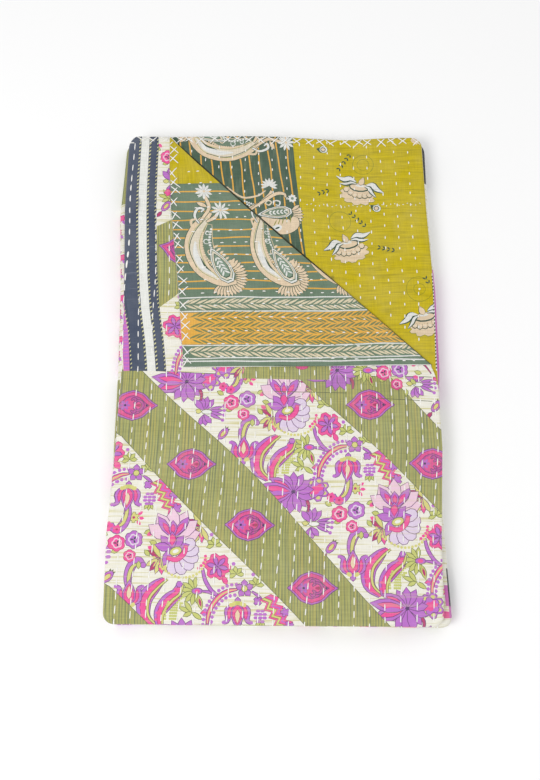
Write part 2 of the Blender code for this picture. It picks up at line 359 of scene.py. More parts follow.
def fold_steps(radius):
    if abs(radius) > 2 * LAYER_PITCH:
        return PANEL_FOLD_STEPS
    return OUTER_FOLD_STEPS if abs(radius) > LAYER_PITCH else INNER_FOLD_STEPS


def stations(legs, start, places):
    """Lines of the flat sheet that its points lie on, a list for each leg. Straight legs share their places."""
    lines, begun, at, way = [], 0.0, start, -1
    for length, radius in legs:
        if radius:
            lines.append(begun + np.linspace(0, length, fold_steps(radius) + 1))
            way = -way
        else:
            runs = np.sort((places - at) * way)
            inside = runs[(runs > LINE_CLEARANCE) & (runs < length - LINE_CLEARANCE)]
            lines.append(begun + np.concatenate([[0.0], inside, [length]]))
            at += way * length
        begun += length
    return lines


def places(half, count):
    """Even places over a length or width, with more over its round corners."""
    corner = np.linspace(half - CORNER_RADIUS, half, 5)
    return np.concatenate([np.linspace(-half, half, count), corner, -corner])


def pairs(u_lines, v_lines):
    """Every crossing of two sets of lines, as rounded points."""
    return {(round(float(u), 7), round(float(v), 7)) for u in u_lines for v in v_lines}


def base_points(shown, seen):
    """Points of the flat sheet and the bent lines between them. shown lists the (u leg, v leg) that show."""
    half_length, half_width = PACKET_LENGTH / 2, PACKET_WIDTH / 2
    along = stations(LENGTH_LEGS, half_length, places(half_length, 7))
    wide = stations(WIDTH_LEGS, half_width, places(half_width, 5))
    fine_along = stations(LENGTH_LEGS, half_length, places(half_length, round(PACKET_LENGTH / SURFACE_PITCH)))
    fine_wide = stations(WIDTH_LEGS, half_width, places(half_width, round(4 * PACKET_WIDTH / ROW_PITCH)))
    points = set()
    for v_lines in along:
        for u_lines in wide:
            points |= pairs(u_lines, v_lines)
    for u_leg, v_leg in shown:
        fine = pairs(fine_wide[u_leg], fine_along[v_leg])
        points |= {point for point in fine if seen(*point)}
    points = [point for point in sorted(points) if clear_of_turn(*point)]
    edges = []
    for legs, axis in ((wide, 0), (along, 1)):
        for place in (round(float(place), 7) for lines in legs[1::2] for place in lines):
            on_line = [number for number, point in enumerate(points) if abs(point[axis] - place) < MERGE / 10]
            on_line.sort(key=lambda number, other=1 - axis: points[number][other])
            edges += zip(on_line[:-1], on_line[1:])
    for row in turn_lines():
        first = len(points)
        points += [tuple(point) for point in row]
        edges += [(first + step, first + step + 1) for step in range(len(row) - 1)]
    return points, edges


def seen_on_a(u, v):
    """Where face A can be seen: on top clear of the turned corner, underneath, and on the folds."""
    first, near, far = np.cumsum([length for length, radius in LENGTH_LEGS])[:3]
    folds = fold_middles(WIDTH_LEGS)
    normal, along, distance = diagonal()
    past = past_diagonal(u, v)
    under_corner = (u + 2 * past * normal[0] > 0.012) & (v + 2 * past * normal[1] > 0.012)
    on_top = (u < folds[1] + FOLD_SIGHT) & (v < near) & (past < 0.003) & ~under_corner
    underneath = (u > folds[3] - FOLD_SIGHT) & (v < near)
    on_near_fold = abs(v - (first + near) / 2) < 0.007
    on_right_fold = (abs(u - folds[2]) < FOLD_SIGHT) & (v > near) & (v < far)
    return on_top | underneath | on_near_fold | on_right_fold


def seen_on_b(u, v):
    """Where face B can be seen: on the turned corner, and on the second layer beside it."""
    return past_diagonal(u, np.minimum(v, FLAT_LENGTH - v)) > -0.006


def clear_of_turn(u, v):
    """Whether a point keeps off the strip that bends round the diagonal."""
    past = past_diagonal(u, v)
    corner = u < MERGE and v < MERGE
    return corner or not -STRIP_CLEARANCE < past < math.pi * TURN_RADIUS + STRIP_CLEARANCE


def turn_lines():
    """Rows of points along the diagonal, across the strip that bends."""
    distance = diagonal()[2]
    count = round(math.hypot(TURN_ON_FAR_EDGE, TURN_ON_RIGHT_EDGE) / TURN_POINT_PITCH)
    rows = []
    for past in np.linspace(0, math.pi * TURN_RADIUS, OUTER_FOLD_STEPS + 1):
        scale = 1 - past / distance
        part = np.linspace(0, 1, count + 1)
        rows.append(np.stack((TURN_ON_FAR_EDGE * scale * (1 - part), TURN_ON_RIGHT_EDGE * scale * part), -1))
    return rows


# Colours of the prints and threads
COLOURS = {
    "cream": "fbf8ec",
    "lilac": "eedcf4",
    "pale pink": "fbd6ea",
    "purple": "c877d6",
    "violet": "74497f",
    "hot pink": "fb5ca6",
    "crimson": "c43f78",
    "yellow": "e4de88",
    "leaf": "d2d67c",
    "moss": "727a48",
    "plum": "5d3c70",
    "ink": "434c63",
    "olive": "b9ba72",
    # band line: the printed lines at the olive bands' edges, also used for the painted crease shade on the
    # first layer
    "band line": "6d7150",
    "navy": "505a70",
    "white strip": "fbfcf6",
    "magenta": "e07bc9",
    "mustard": "dac408",
    "green": "758d75",
    "orange": "fcbf4e",
    "peach": "f9e0be",
    "pale": "fafaf5",
    "dark green": "3f5a48",
    "deep green": "4e6854",
    "pale peach": "f6ead2",
    "sage green": "86a08a",
    "dot": "dedba6",
    "magenta pink": "d657b4",
    "sage": "8f9420",
    "moss green": "8b8f5a",
    "straw": "f3e4c2",
    # shade: the painted shadow strip along the diagonal fold; the dark dashes on the pale bar at the second
    # layer's right edge use it too
    "shade": "353a22",
    "black": "32343b",
    "thread": "fdfdf9",
}
GROUNDS = {"black", "cream", "olive", "navy", "white strip", "magenta", "mustard", "green", "deep green"}
CLOTHS = ("floral", "olive", "border", "mustard", "green", "hem")
PRINT_STRENGTH = 0.9  # share of each colour's light that the cloth gives back

# The usual outline of each printed colour
OUTLINES = {
    "purple": "violet",
    "lilac": "violet",
    "pale pink": "violet",
    "crimson": "violet",
    "magenta pink": "violet",
    "hot pink": "crimson",
    "yellow": "moss",
    "leaf": "moss",
    "peach": "dark green",
}

LINE = 0.72  # width of the printed outlines, in millimetres
SMALL = 11.0  # shapes whose width and height together are less have no outline
PLAIN = 16.0  # where prints have no outlines, shapes whose width and height together are less are dropped


def face_a(place):
    """A place on face A, seen from above with the packet's middle at 0: x + iy in millimetres."""
    return np.stack((PACKET_WIDTH / 2 - place.real / 1000, PACKET_LENGTH / 2 - place.imag / 1000), -1)


def flap(place):
    """A place on face B from the sheet's corner: along its far edge, and i times across."""
    return np.stack((place.imag / 1000, place.real / 1000), -1)


def second_layer(place):
    """A place on face B of the second layer, seen from above with the packet's middle at 0."""
    far = FLAT_LENGTH - PACKET_LENGTH / 2
    return np.stack((PACKET_WIDTH / 2 - place.real / 1000, far + place.imag / 1000), -1)


class Pen:
    """Draws filled shapes, in millimetres, about a place on one face of the flat sheet."""

    def __init__(self, shapes, frame, at=0j, turn=0.0, stretch=1.0, lines=True):
        self.shapes, self.frame, self.lines = shapes, frame, lines
        self.at, self.turn, self.stretch = at, cmath.exp(1j * math.radians(turn)), stretch

    def placed(self, at, turn=0.0, stretch=1.0, lines=True):
        return Pen(self.shapes, self.frame, at, turn, stretch, lines)

    def lay(self, shape, colour, cloth=None):
        shape = np.asarray(shape, complex)
        if not self.lines:
            if np.ptp(shape.real) + np.ptp(shape.imag) < PLAIN:
                return
            shape = shape[::2] if len(shape) > 5 else shape
        drawn = self.at + self.turn * (self.stretch * shape.real + 1j * shape.imag)
        self.shapes.append((self.frame(drawn), colour, cloth))

    def fill(self, shape, colour, line=None, at=0j, turn=0.0):
        """Fill a shape, over a slightly larger one in the line's colour."""
        shape = at + np.asarray(shape, complex) * cmath.exp(1j * math.radians(turn))
        if line and self.lines and np.ptp(shape.real) + np.ptp(shape.imag) > SMALL:
            self.lay(grown(shape, LINE), line)
        self.lay(shape, colour)

    def ink(self, shape, colour, at=0j, turn=0.0):
        """Fill a shape, with its colour's usual outline."""
        self.fill(shape, colour, OUTLINES[colour], at, turn)


def grown(shape, by):
    """A closed shape, grown all round."""
    ahead, behind = np.roll(shape, -1), np.roll(shape, 1)
    if np.sum((shape.conj() * ahead).imag) < 0:
        by = -by
    along = ahead - behind
    return shape - 1j * along / np.maximum(np.abs(along), 1e-9) * by


def compass(degrees):
    return cmath.exp(1j * math.radians(degrees))


def disc(radius, points=6):
    return radius * np.exp(1j * np.arange(points) / points * math.tau)


def oval(long, wide, points=10):
    ring = disc(1, points)
    return (ring.real * long + 1j * ring.imag * wide) / 2


def petal(long, wide, belly=0.5, steps=0):
    """A leaf shape from 0 to long, pointed at both ends."""
    steps = steps or (3 if long < 11 else 4)
    along = np.linspace(0, 1, steps + 1)
    half = wide / 2 * np.sin(math.pi * along ** (math.log(0.5) / math.log(belly)))
    upper = long * along + 1j * half
    return np.concatenate([upper.conj(), upper[-2:0:-1]])


def drop(long, wide, points=11):
    """A drop with its point at 0 and its round end at long."""
    angle = np.arange(points) / points * math.tau
    return long / 2 * (1 - np.cos(angle)) - 1j * wide / 2 * np.sin(angle) * np.abs(np.sin(angle / 2)) ** 0.8


def lobed(radius, lobes, depth=0.2, steps=3):
    angle = np.arange(lobes * steps) / (lobes * steps) * math.tau
    return radius * (1 - depth + depth * np.abs(np.sin(lobes * angle / 2))) * np.exp(1j * angle)


def curve(points, steps=3):
    """A smooth line through a few points."""
    points = np.asarray(points, complex)
    padded = np.concatenate([[2 * points[0] - points[1]], points, [2 * points[-1] - points[-2]]])
    line = []
    for a, b, c, d in zip(padded, padded[1:], padded[2:], padded[3:]):
        for part in np.arange(steps) / steps:
            line.append(
                b + (c - a) / 2 * part
                + (a - 2.5 * b + 2 * c - d / 2) * part**2
                + (1.5 * b - 1.5 * c + (d - a) / 2) * part**3
            )
    return np.array(line + [points[-1]])


def ribbon(points, wide, ends=0.35, steps=3):
    """A band along a smooth line through a few points, narrower at its ends."""
    line = curve(points, steps)
    along = np.gradient(line)
    swell = ends + (1 - ends) * np.sin(math.pi * np.linspace(0, 1, len(line)))
    side = 1j * along / np.maximum(np.abs(along), 1e-9) * wide / 2 * swell
    return np.concatenate([line - side, (line + side)[::-1]])


def strip(left, right):
    """The area between two lines that are both walked the same way."""
    return np.concatenate([np.asarray(left, complex), np.asarray(right, complex)[::-1]])


def beads(pen, points, radius, spacing, colour, line=None):
    path = curve(points, 6)
    run = np.concatenate([[0], np.cumsum(np.abs(np.diff(path)))])
    for place in np.arange(0, run[-1], spacing):
        pen.fill(disc(radius, 5), colour, line, at=np.interp(place, run, path))


def flower(pen, count, long, wide, colour, line=None, turn=0.0, spread=360.0, belly=0.6, at=0j):
    step = spread / count if spread == 360 else spread / max(count - 1, 1)
    for number in range(count):
        pen.fill(petal(long, wide, belly), colour, line, at=at, turn=turn + number * step)


# Motifs of the floral cotton, each about its own middle


def aster(pen):
    pen.ink(ribbon([2, 10 - 4j, 17 - 13j, 17 - 22j], 3), "crimson")
    flower(pen, 7, 22, 8.5, "purple", "violet", turn=-48, spread=168)
    flower(pen, 4, 24, 9, "purple", "violet", turn=212, spread=78)
    for turn, long, wide in ((196, 38, 15), (150, 30, 13), (172, 40, 14)):
        pen.ink(petal(long, wide), "purple", turn=turn)
        pen.fill(petal(long * 0.7, wide * 0.5), "hot pink", "violet", at=4 * compass(turn), turn=turn)
    pen.fill(petal(18, 4.5), "purple", at=8 * compass(184), turn=184)
    pen.fill(lobed(2.6, 5, 0.4), "plum")


def ruffle(pen):
    pen.ink(lobed(14, 7, 0.28), "purple")
    for number in range(7):
        pen.fill(oval(5.5, 4.2, 6), "yellow", "violet", at=9.6 * compass(26 + number * 51.4))
    pen.ink(lobed(7.6, 5, 0.3) * (1.25 + 0j), "purple")
    pen.fill(lobed(6.6, 5, 0.35).real * 1.35 + 1j * lobed(6.6, 5, 0.35).imag * 0.8, "hot pink", turn=32)


def berries(pen):
    for middle in (0, 9 - 4j):
        for number in range(5):
            pen.ink(disc(2.3, 5), "hot pink", at=middle + 2.9 * compass(number * 72))
        pen.fill(disc(1.5, 5), "crimson", at=middle)


def rose(pen, petals, heart, size):
    pen.ink(lobed(size, 6, 0.16), petals)
    pen.fill(lobed(size * 0.68, 5, 0.2), heart, petals)
    pen.fill(lobed(size * 0.5, 5, 0.2), petals)
    for turn in (60, 175, 290):
        pen.fill(petal(size * 0.45, size * 0.2), "ink", turn=turn)


def posy(pen):
    for at, turn in (
        (-24 + 8j, 150),
        (-13 - 8j, 200),
        (14 + 10j, 20),
        (9 - 20j, -90),
        (15 - 8j, -50),
        (20 + 1j, -15),
    ):
        pen.ink(petal(8, 4.6), "leaf", at=at, turn=turn)
    for at, turn in ((-22 + 12j, 140), (17 + 7j, 40), (18 - 4j, -30)):
        pen.ink(petal(7, 5), "hot pink", at=at, turn=turn)
    rose(pen.placed(pen.at - 15 - 1j, lines=pen.lines), "hot pink", "pale pink", 8.8)
    rose(pen.placed(pen.at + 3 + 3j, lines=pen.lines), "purple", "lilac", 9.6)
    rose(pen.placed(pen.at - 1 - 14.5j, lines=pen.lines), "hot pink", "pale pink", 6.6)
    pen.ink(ribbon([20 + 10j, 28 + 13j, 36 + 8j, 41 - 1j], 2.4), "crimson")


def carnation(pen):
    flower(pen, 4, 17, 6.6, "purple", "violet", turn=52, spread=78, at=-3 + 1j)
    flower(pen, 3, 13, 5.6, "purple", "violet", turn=-110, spread=60, at=-3 - 3j)
    for height, turn in ((6, 16), (2, 4), (-2, -10), (-6, -26)):
        pen.ink(petal(17, 3, 0.4), "purple", at=2 + 0.3j * height, turn=turn)
        pen.ink(disc(2.1, 6), "purple", at=2 + 0.3j * height + 17.5 * compass(turn))
    pen.fill(oval(11, 4.6), "pale", "moss")
    pen.ink(petal(7, 5), "yellow", at=-6, turn=170)


def rose_bud(pen):
    pen.ink(lobed(4.6, 5, 0.3), "hot pink")
    pen.ink(petal(8, 3), "purple", at=2 - 3j, turn=-60)


def bud(pen):
    for turn in (20, 55, 90):
        pen.fill(petal(6, 2.2), "moss", at=4 * compass(55), turn=turn)
    pen.ink(oval(15, 7.5), "purple", turn=52)
    pen.fill(oval(8, 3.6), "yellow", "crimson", turn=52)
    pen.ink(petal(9, 4), "crimson", at=-5 - 7j, turn=230)


def onion(pen):
    pen.ink(ribbon([0, -2 + 14j, 1 + 26j, 8 + 33j, 14 + 29j], 9, 0.5, 4), "purple")
    pen.ink(ribbon([0, -1 + 14j, 2 + 25j, 7 + 29j], 3.4, 0.4), "yellow")
    pen.ink(disc(3, 6), "purple", at=14 + 28j)
    for side in (-1, 1):
        pen.ink(ribbon([side * 4 - 14j, side * 11 - 8j, side * 10 + 2j, side * 14 + 6j], 5), "purple")
        pen.ink(petal(15, 5.4), "hot pink", at=side * 6 - 13j, turn=90 - side * 12)
        pen.ink(disc(2.2, 5), "purple", at=side * 14.5 + 5j)
    pen.ink(petal(27, 14, 0.4), "purple", at=-15j, turn=90)
    pen.ink(petal(21, 10.5, 0.4), "hot pink", at=-13j, turn=90)
    pen.fill(petal(14, 5, 0.4), "peach", "crimson", at=-8j, turn=90)
    pen.ink(petal(8, 6), "purple", at=-13j, turn=-90)
    for side in (-1, 1):
        pen.ink(oval(6.4, 4.6, 8), "yellow", at=side * 4 - 14j, turn=side * 30)


def lantern(pen):
    onion(pen.placed(pen.at, 180, lines=pen.lines))
    pen.ink(lobed(3.2, 4, 0.4), "leaf", at=15j)
    for side in (-1, 1):
        pen.fill(disc(2.4, 6), "yellow", "violet", at=side * 7 + 13j)


def wing(pen):
    for path, width in (
        ([-2 - 24j, -13 - 13j, -13 + 4j, -3 + 17j, 6 + 25j], 15),
        ([2 - 24j, 3 - 10j, 11 + 2j, 20 + 10j, 23 + 20j], 14),
    ):
        pen.ink(ribbon(path, width, 0.3, 4), "purple")
        shifted = [place + 1.2 for place in path]
        pen.ink(ribbon(shifted, width * 0.58, 0.3, 4), "hot pink")
        edge = [place + width * 0.28 for place in path]
        pen.ink(ribbon(edge, 2.2, 0.6, 4), "yellow")
        for place in curve(path, 2)[1:-1]:
            pen.ink(disc(1.7, 5), "hot pink", at=place - width * 0.2)
    pen.ink(disc(3.2, 6), "purple", at=23 + 20j)


def half_sun(pen):
    flower(pen, 8, 15, 4.4, "leaf", "moss", turn=85, spread=205)
    pen.ink(petal(16, 5), "leaf", at=4 - 4j, turn=-75)
    pen.fill(petal(10, 3), "crimson", at=5 - 7j, turn=-75)
    pen.ink(oval(11, 6), "purple", at=3)
    pen.ink(oval(6, 4, 8), "hot pink", at=3)
    pen.ink(ribbon([8, 16 - 1j, 22 - 3j, 29 - 6j], 3), "purple")
    pen.ink(ribbon([8 + 24j, 11 + 12j, 17 + 2j, 23 - 3j], 3.2, 0.7), "purple")


def arch(pen):
    path = [-13 - 24j, -11 - 8j, -3 + 6j, 8 + 14j, 18 + 16j]
    for side in (-1, 1):
        beads(pen, [place + side * 5.6 * compass(140 - 14 * number) for number, place in enumerate(path)],
              2.2, 5.0, "purple", "violet")
    pen.fill(ribbon(path, 4.6), "hot pink", "violet")
    pen.fill(ribbon(path, 1.6), "yellow")
    flower(pen, 5, 9.5, 6.5, "purple", "violet", turn=20, at=26 + 17j)
    pen.ink(disc(3, 8), "yellow", at=26 + 17j)
    pen.ink(ribbon([34 + 14j, 40 + 10j, 46 + 4j], 2.4), "purple")
    pen.ink(lobed(4.6, 4, 0.4), "purple", at=40 + 4j)


def tuft(pen):
    for number, colour in enumerate(("yellow", "crimson", "yellow", "hot pink", "yellow")):
        turn = 22 * number - 150
        pen.fill(petal(18, 5, 0.6), colour, "violet", turn=turn)
        if colour != "yellow":
            pen.fill(petal(13, 2, 0.6), "yellow", turn=turn)
    pen.ink(petal(15, 5), "crimson", turn=150)
    pen.ink(petal(18, 5), "yellow", turn=120)


def fan(pen):
    for turn, long in ((18, 30), (42, 33), (68, 35), (94, 36), (122, 35), (148, 32)):
        pen.ink(petal(long, 15, 0.6), "pale pink", at=-2 + 6j, turn=turn)
    for turn, long in ((58, 28), (126, 30), (94, 20)):
        pen.ink(petal(long, 8.5, 0.6), "purple", at=-2 + 8j, turn=turn)
        pen.ink(petal(long * 0.55, 4, 0.6), "hot pink", at=-2 + 9j + 4 * compass(turn), turn=turn)
    for number, turn in enumerate(range(-108, 40, 29)):
        pen.ink(drop(25 - 0.8 * number, 16), "lilac", at=4 - 6j, turn=turn)
    beads(pen, [-22 - 12j, -12 - 24j, 6 - 33j, 26 - 28j, 34 - 12j], 1.7, 3.9, "yellow", "moss")
    beads(pen, [-10 - 16j, -5 - 8j], 1.9, 3.8, "hot pink", "crimson")
    beads(pen, [26 - 23j, 32 - 16j, 33 - 10j], 1.9, 3.8, "hot pink", "crimson")
    for turn in (15, 50, 90, 130, 165):
        pen.ink(petal(19, 9), "purple", at=-3 - 3j, turn=turn)
    pen.ink(petal(12, 7, 0.6), "hot pink", at=-3 + 1j, turn=90)
    pen.ink(petal(20, 9), "purple", at=-4 - 2j, turn=-112)
    pen.ink(ribbon([-8 - 12j, 2 - 14j, 10 - 7j, 12 + 1j], 4.6, 0.7), "hot pink")
    pen.ink(oval(13, 8), "yellow", at=1 - 5j, turn=20)
    pen.fill(oval(7, 4, 8), "pale", at=1 - 5j, turn=20)


def pink_star(pen):
    pen.ink(lobed(14.5, 6, 0.26), "hot pink", turn=20)
    flower(pen, 6, 11.5, 4.2, "purple", "violet", turn=48)
    pen.ink(petal(10, 5), "hot pink", at=6 - 10j, turn=-65)


def cone(pen):
    for turn in (-60, -90, -120):
        pen.ink(petal(9, 3.4), "leaf", at=-3j, turn=turn)
    for row, count in enumerate((2, 3, 3, 2)):
        for number in range(count):
            at = (number - (count - 1) / 2) * 4.6 + 1j * (6 - 3.6 * row)
            pen.fill(oval(5.4, 3.6, 6), "purple", "plum", at=at)


def zigzag(pen):
    path = np.array([-13 + 20j, -5 + 17j, -8 + 10j, 0 + 8j, -3 + 2j, 5, 2 - 6j, 10 - 8j, 9 - 15j])
    pen.ink(strip(path - 6 - 3j, path + 6 + 3j), "hot pink")
    pen.ink(strip(path - 3.6 - 1.8j, path - 0.9 - 0.5j), "yellow")
    pen.fill(strip(path + 1.8 + 0.9j, path + 3.4 + 1.7j), "purple")
    pen.ink(lobed(6, 5, 0.5), "purple", at=12 - 10j)
    pen.ink(lobed(5, 5, 0.5), "purple", at=8 + 5j)


def grasses(pen):
    beads(pen, [-6 - 10j, -6 - 1j, -3 + 8j], 1.5, 3.0, "leaf", "moss")
    beads(pen, [1 - 10j, 2 - 1j, 8 + 9j, 13 + 13j], 1.5, 3.0, "leaf", "moss")
    beads(pen, [5 - 10j, 6 - 1j, 12 + 7j], 1.5, 3.0, "leaf", "moss")


def leaves(pen):
    for turn, long in ((160, 15), (125, 14), (205, 10), (-35, 13)):
        pen.ink(petal(long, 4.2), "leaf", turn=turn)
    pen.fill(petal(10, 5.5), "hot pink", "violet", at=9 - 1j, turn=10)


def sprig(pen):
    flower(pen, 5, 8.5, 4, "leaf", "moss", turn=0, spread=200)
    pen.ink(disc(2.2, 6), "purple", at=-3 + 11j)


def daisy(pen):
    pen.ink(lobed(6, 6, 0.4), "yellow")
    pen.fill(disc(1.7, 5), "crimson")
    for turn in (35, -5, -45):
        pen.ink(petal(6.5, 4), "hot pink", at=5 * compass(turn), turn=turn)


# One repeat of the floral cotton: motif, then its place in millimetres from the middle of the fan
REPEAT = (
    (grasses, -4 - 66j),
    (grasses, -125 + 58j),
    (leaves, -103 + 55j),
    (sprig, -57 + 95j),
    (sprig, 42 + 2j),
    (sprig, -36 + 84j),
    (daisy, -46 + 31j),
    (cone, -31 + 51j),
    (bud, -70 - 33j),
    (tuft, -15 - 12j),
    (tuft, 27 + 22j),
    (half_sun, 22 - 47j),
    (arch, -74 + 63j),
    (zigzag, -13 + 51j),
    (wing, -17 - 60j),
    (onion, -47 - 48j),
    (lantern, -55 + 50j),
    (berries, -72 + 22j),
    (pink_star, 46 - 21j),
    (ruffle, -88 + 30j),
    (carnation, -89 - 8j),
    (aster, -113 + 27j),
    (posy, -47 + 4j),
    (fan, 0j),
)
REPEAT_ALONG = 123 - 124j
REPEAT_ACROSS = 237 + 34j
FIRST_FAN = 131.8 - 172.2j


def covered(place):
    """Whether a place on face A lies well under the turned corner, or is part of it."""
    return place.real > -92 and place.imag > 18


def in_window(place, margin):
    """Whether a motif at this place on face A can be seen, on the top, the underside or the near folds."""
    x, y = place.real, place.imag
    top = abs(x) < 182 + margin and -300 - margin < y < SEAM + margin
    under = -1262 - margin < x < -880 + margin and -300 - margin < y < 290 + margin
    near = -900 < x < -180 and -318 - margin < y < -286 + margin
    return top or under or near


def floral_motifs(pen, fans):
    for fan_place in fans:
        for motif, place in REPEAT:
            at = fan_place + place
            if in_window(at, 22):
                motif(pen.placed(at, lines=abs(at.real) < 230))


def lattice(first, along, across, count_along, count_across):
    return [first + i * along + j * across for i in range(*count_along) for j in range(*count_across)]


def band_edge(base, swing, phase, along):
    """One edge of an olive band, whose x + y hardly changes, at places along x - y."""
    total = base + swing * np.cos((along - phase) / 90)
    return (total + along) / 2 + 1j * (total - along) / 2


BAND_STEP = 266.0


def olive_bands(pen):
    along = np.arange(-1500, 900, 30.0)
    for number in range(-8, 3):
        lower = band_edge(-256 + BAND_STEP * number, 3, 270, along)
        upper = band_edge(-158 + BAND_STEP * number, 6, 130 - 60 * number, along)
        reach = (lower.real > -1330) & (lower.real < 260) & (lower.imag > -420) & (lower.imag < 340)
        if reach.sum() > 1:
            pen.lay(strip(lower[reach], upper[reach]), "olive", "olive")
            for edge in (lower[reach], upper[reach]):
                pen.lay(strip(edge - 0.4, edge + 0.4), "band line")


def medallion(pen):
    across = np.linspace(-1, 1, 19)
    out = (0, 0.2, 0.38, 0.5, 0.67, 0.8, 0.9, 1)
    half = 16.4 * np.interp(np.abs(across), out, (1, 0.97, 0.86, 0.72, 0.45, 0.25, 0.12, 0.01))
    half = half + 0.9 * np.maximum(np.cos(4 * math.pi * across), 0) * (1 - across**2)
    reach = 25.5 * across + 2.2 * np.maximum(across, 0) ** 3
    outline = strip(reach - 1j * half, reach + 1j * half)
    pen.ink(outline, "purple")
    pen.ink(outline * 0.87, "hot pink")
    pen.fill(outline * 0.68, "violet")
    pen.fill(outline * 0.64, "magenta pink")
    pen.fill(outline * 0.55, "hot pink")
    flower(pen, 6, 6.2, 3.4, "purple", "violet", at=-8.5)
    pen.fill(disc(1.5, 5), "plum", at=-8.5)
    for side in (-1, 1):
        pen.ink(ribbon([-2 + side * 6j, 1 + side * 8j, 4 + side * 5j, 1 + side * 2.4j], 2.4), "magenta pink")
    pen.ink(ribbon([4 - 6j, 9 - 4.6j, 11.5, 9 + 4.6j, 4 + 6j], 2.2, 0.7), "magenta pink")
    pen.ink(drop(6, 4.4), "crimson", at=3.4)
    pen.fill(disc(1.4, 5), "plum", at=15.5)


def medallions(pen):
    for at in lattice(-163.1 - 49.3j, 68 - 66.5j, 196.5 + 69.5j, (-8, 9), (-6, 3)):
        if in_window(at, 12):
            medallion(pen.placed(at, lines=abs(at.real) < 230))


def band(pen, left, right, low, high, colour, cloth=None):
    """A border stripe along y between two places, each leaning as the photographed stripes do."""
    heights = np.linspace(low, high, 9)
    pen.lay(strip(stripe_at(left, heights), stripe_at(right, heights)), colour, cloth)


def stripe_at(across, heights):
    """A line of the left-hand border. It is placed where it crosses y = 178, and leans right below."""
    stations = (-9, 32, 77, 116, 178, 230, 292)
    lean = np.interp(heights, stations, (13.6, 9.3, 2.8, 0.7, 0.1, -1.0, -0.6))
    outer = np.clip((-166 - across) / 16, 0, 1) * np.interp(heights, stations, (-1.0, 0.7, 2.2, 1.1, 0, 0, 0))
    return across + lean + outer + 1j * heights


# Stripes of the left-hand border from left to right: left side, right side, colour
STRIPES = (
    (-187.7, -182.2, "magenta"),
    (-182.2, -179.9, "ink"),
    (-179.9, -165.8, "navy"),
    (-165.8, -162.9, "ink"),
    (-162.9, -153.3, "white strip"),
    (-153.3, -150.4, "ink"),
    (-150.4, -143.9, "navy"),
    (-143.9, -141.5, "ink"),
)
SEAM = -9.0


def borders(pen):
    """The striped border beside the floral cloth, with its dotted lines and its ladder."""
    low, high = SEAM, 292.0
    for left, right, colour in STRIPES:
        band(pen, left, right, low, high, colour, "border")
    for left, right, colour in STRIPES:
        if colour == "ink":
            for height in np.arange(low + 2, high - 3, 4.9):
                dot = [left + 0.3, right - 0.5 + 1.2j, right - 0.3 + 3.2j, left + 0.5 + 2.0j]
                pen.lay(np.array(dot) + stripe_at(0, height), "dot")
    for height in np.arange(low + 2, 110, 4.2):
        ends = np.array([height, height + 2.2])
        pen.lay(strip(stripe_at(-187.2, ends), stripe_at(-182.7, ends)), "purple")


def upper_patch(pen):
    """The cloth between the border and the turned corner, sewn on above the seam."""
    x = np.array([-190, -150, -44, 60, 190])
    seam = x + 1j * np.array([-7, -8, -13, -13, -13])
    pen.lay(strip(seam, x + 300j), "cream", "floral")
    pen.lay(strip(seam - 0.4j, seam + 0.4j), "moss")
    for motif, at in (
        (posy, -116 + 262j),
        (carnation, -122 + 228j),
        (leaves, -126 + 206j),
        (bud, -130 + 196j),
        (rose_bud, -128 + 214j),
        (pink_star, -119 + 45j),
        (sprig, -112 + 70j),
        (arch, -104 + 12j),
        (ruffle, -62 - 4j),
        (tuft, -40 - 2j),
        (aster, 66 - 6j),
        (half_sun, 98 - 6j),
        (posy, 134 - 8j),
    ):
        motif(pen.placed(at))
    above = [-145 + 168j, -120 + 180j, -90 + 193j, -60 + 200j]
    below = [-145 + 62j, -122 + 80j, -104 + 96j, -60 + 110j]
    pen.lay(strip(above, below), "olive", "olive")
    pen.lay([-44 - 17j, 56 - 17j, 62 + 10j, -30 + 10j], "olive", "olive")
    pen.ink(oval(14, 7), "hot pink", at=26 - 1j)
    medallion(pen.placed(-111 + 138.5j, 166))


def painted_crease_shade(pen):
    """A thin dark line painted along the crease across the first layer: painted shade in the crease."""
    for line in ([-4 - 31.4j, 36 - 31.6j, 76 - 32.6j], [104 - 38j, 120 - 39.4j, 172 - 41.6j]):
        line = np.array(line)
        pen.lay(strip(line - 0.38j, line + 0.38j), "band line")


def hidden_patches(pen):
    """Patches on the inner panels, which show only at the folds."""
    for x_left, x_right, y_low, y_high, colour, cloth in (
        (-940, -860, 205, 292, "olive", "olive"),
        (-940, -860, -15, 205, "cream", "floral"),
        (-940, -860, -80, -15, "olive", "olive"),
        (-560, -500, -700, -635, "magenta", "border"),
        (-560, -533, -635, -541, "magenta", "border"),
        (-560, -500, -880, -811, "black", "border"),
        (-560, -533.5, -352, -312, "black", "border"),
        (-533.5, -531.2, -334, -312, "magenta", "border"),
        (-560, -533, -312, -299, "magenta", "border"),
        (-560, -500, -299, -282, "cream", "floral"),
    ):
        corners = [x_left + 1j * y_low, x_right + 1j * y_low, x_right + 1j * y_high, x_left + 1j * y_high]
        pen.lay(corners, colour, cloth)
    for number, height in enumerate(range(0, 200, 17)):
        rose_bud(pen.placed(-899 + 1j * height + 3 * (number % 3)))
        pen.ink(petal(13, 6), "purple", at=-905 + 1j * height + 8j, turn=20 * (number % 4))
        pen.ink(petal(8, 4), "leaf", at=-893 + 1j * height + 6j, turn=90 + 30 * (number % 3))


def face_a_shapes():
    """Everything printed or sewn on face A, in the order in which it is laid down."""
    shapes = []
    pen = Pen(shapes, face_a)
    left, right = 180 - 1000 * FLAT_WIDTH, 180
    near, far = 288 - 1000 * FLAT_LENGTH, 288
    pen.lay([left + 1j * near, right + 1j * near, right + 1j * far, left + 1j * far], "cream", "floral")
    fans = lattice(FIRST_FAN, REPEAT_ALONG, REPEAT_ACROSS, (-8, 9), (-7, 3))
    floral_motifs(pen, fans)
    olive_bands(pen)
    medallions(pen)
    hidden_patches(pen)
    # painted shade: a dark line along the crease of the first layer
    painted_crease_shade(pen)
    upper_patch(pen)
    borders(pen)
    return shapes


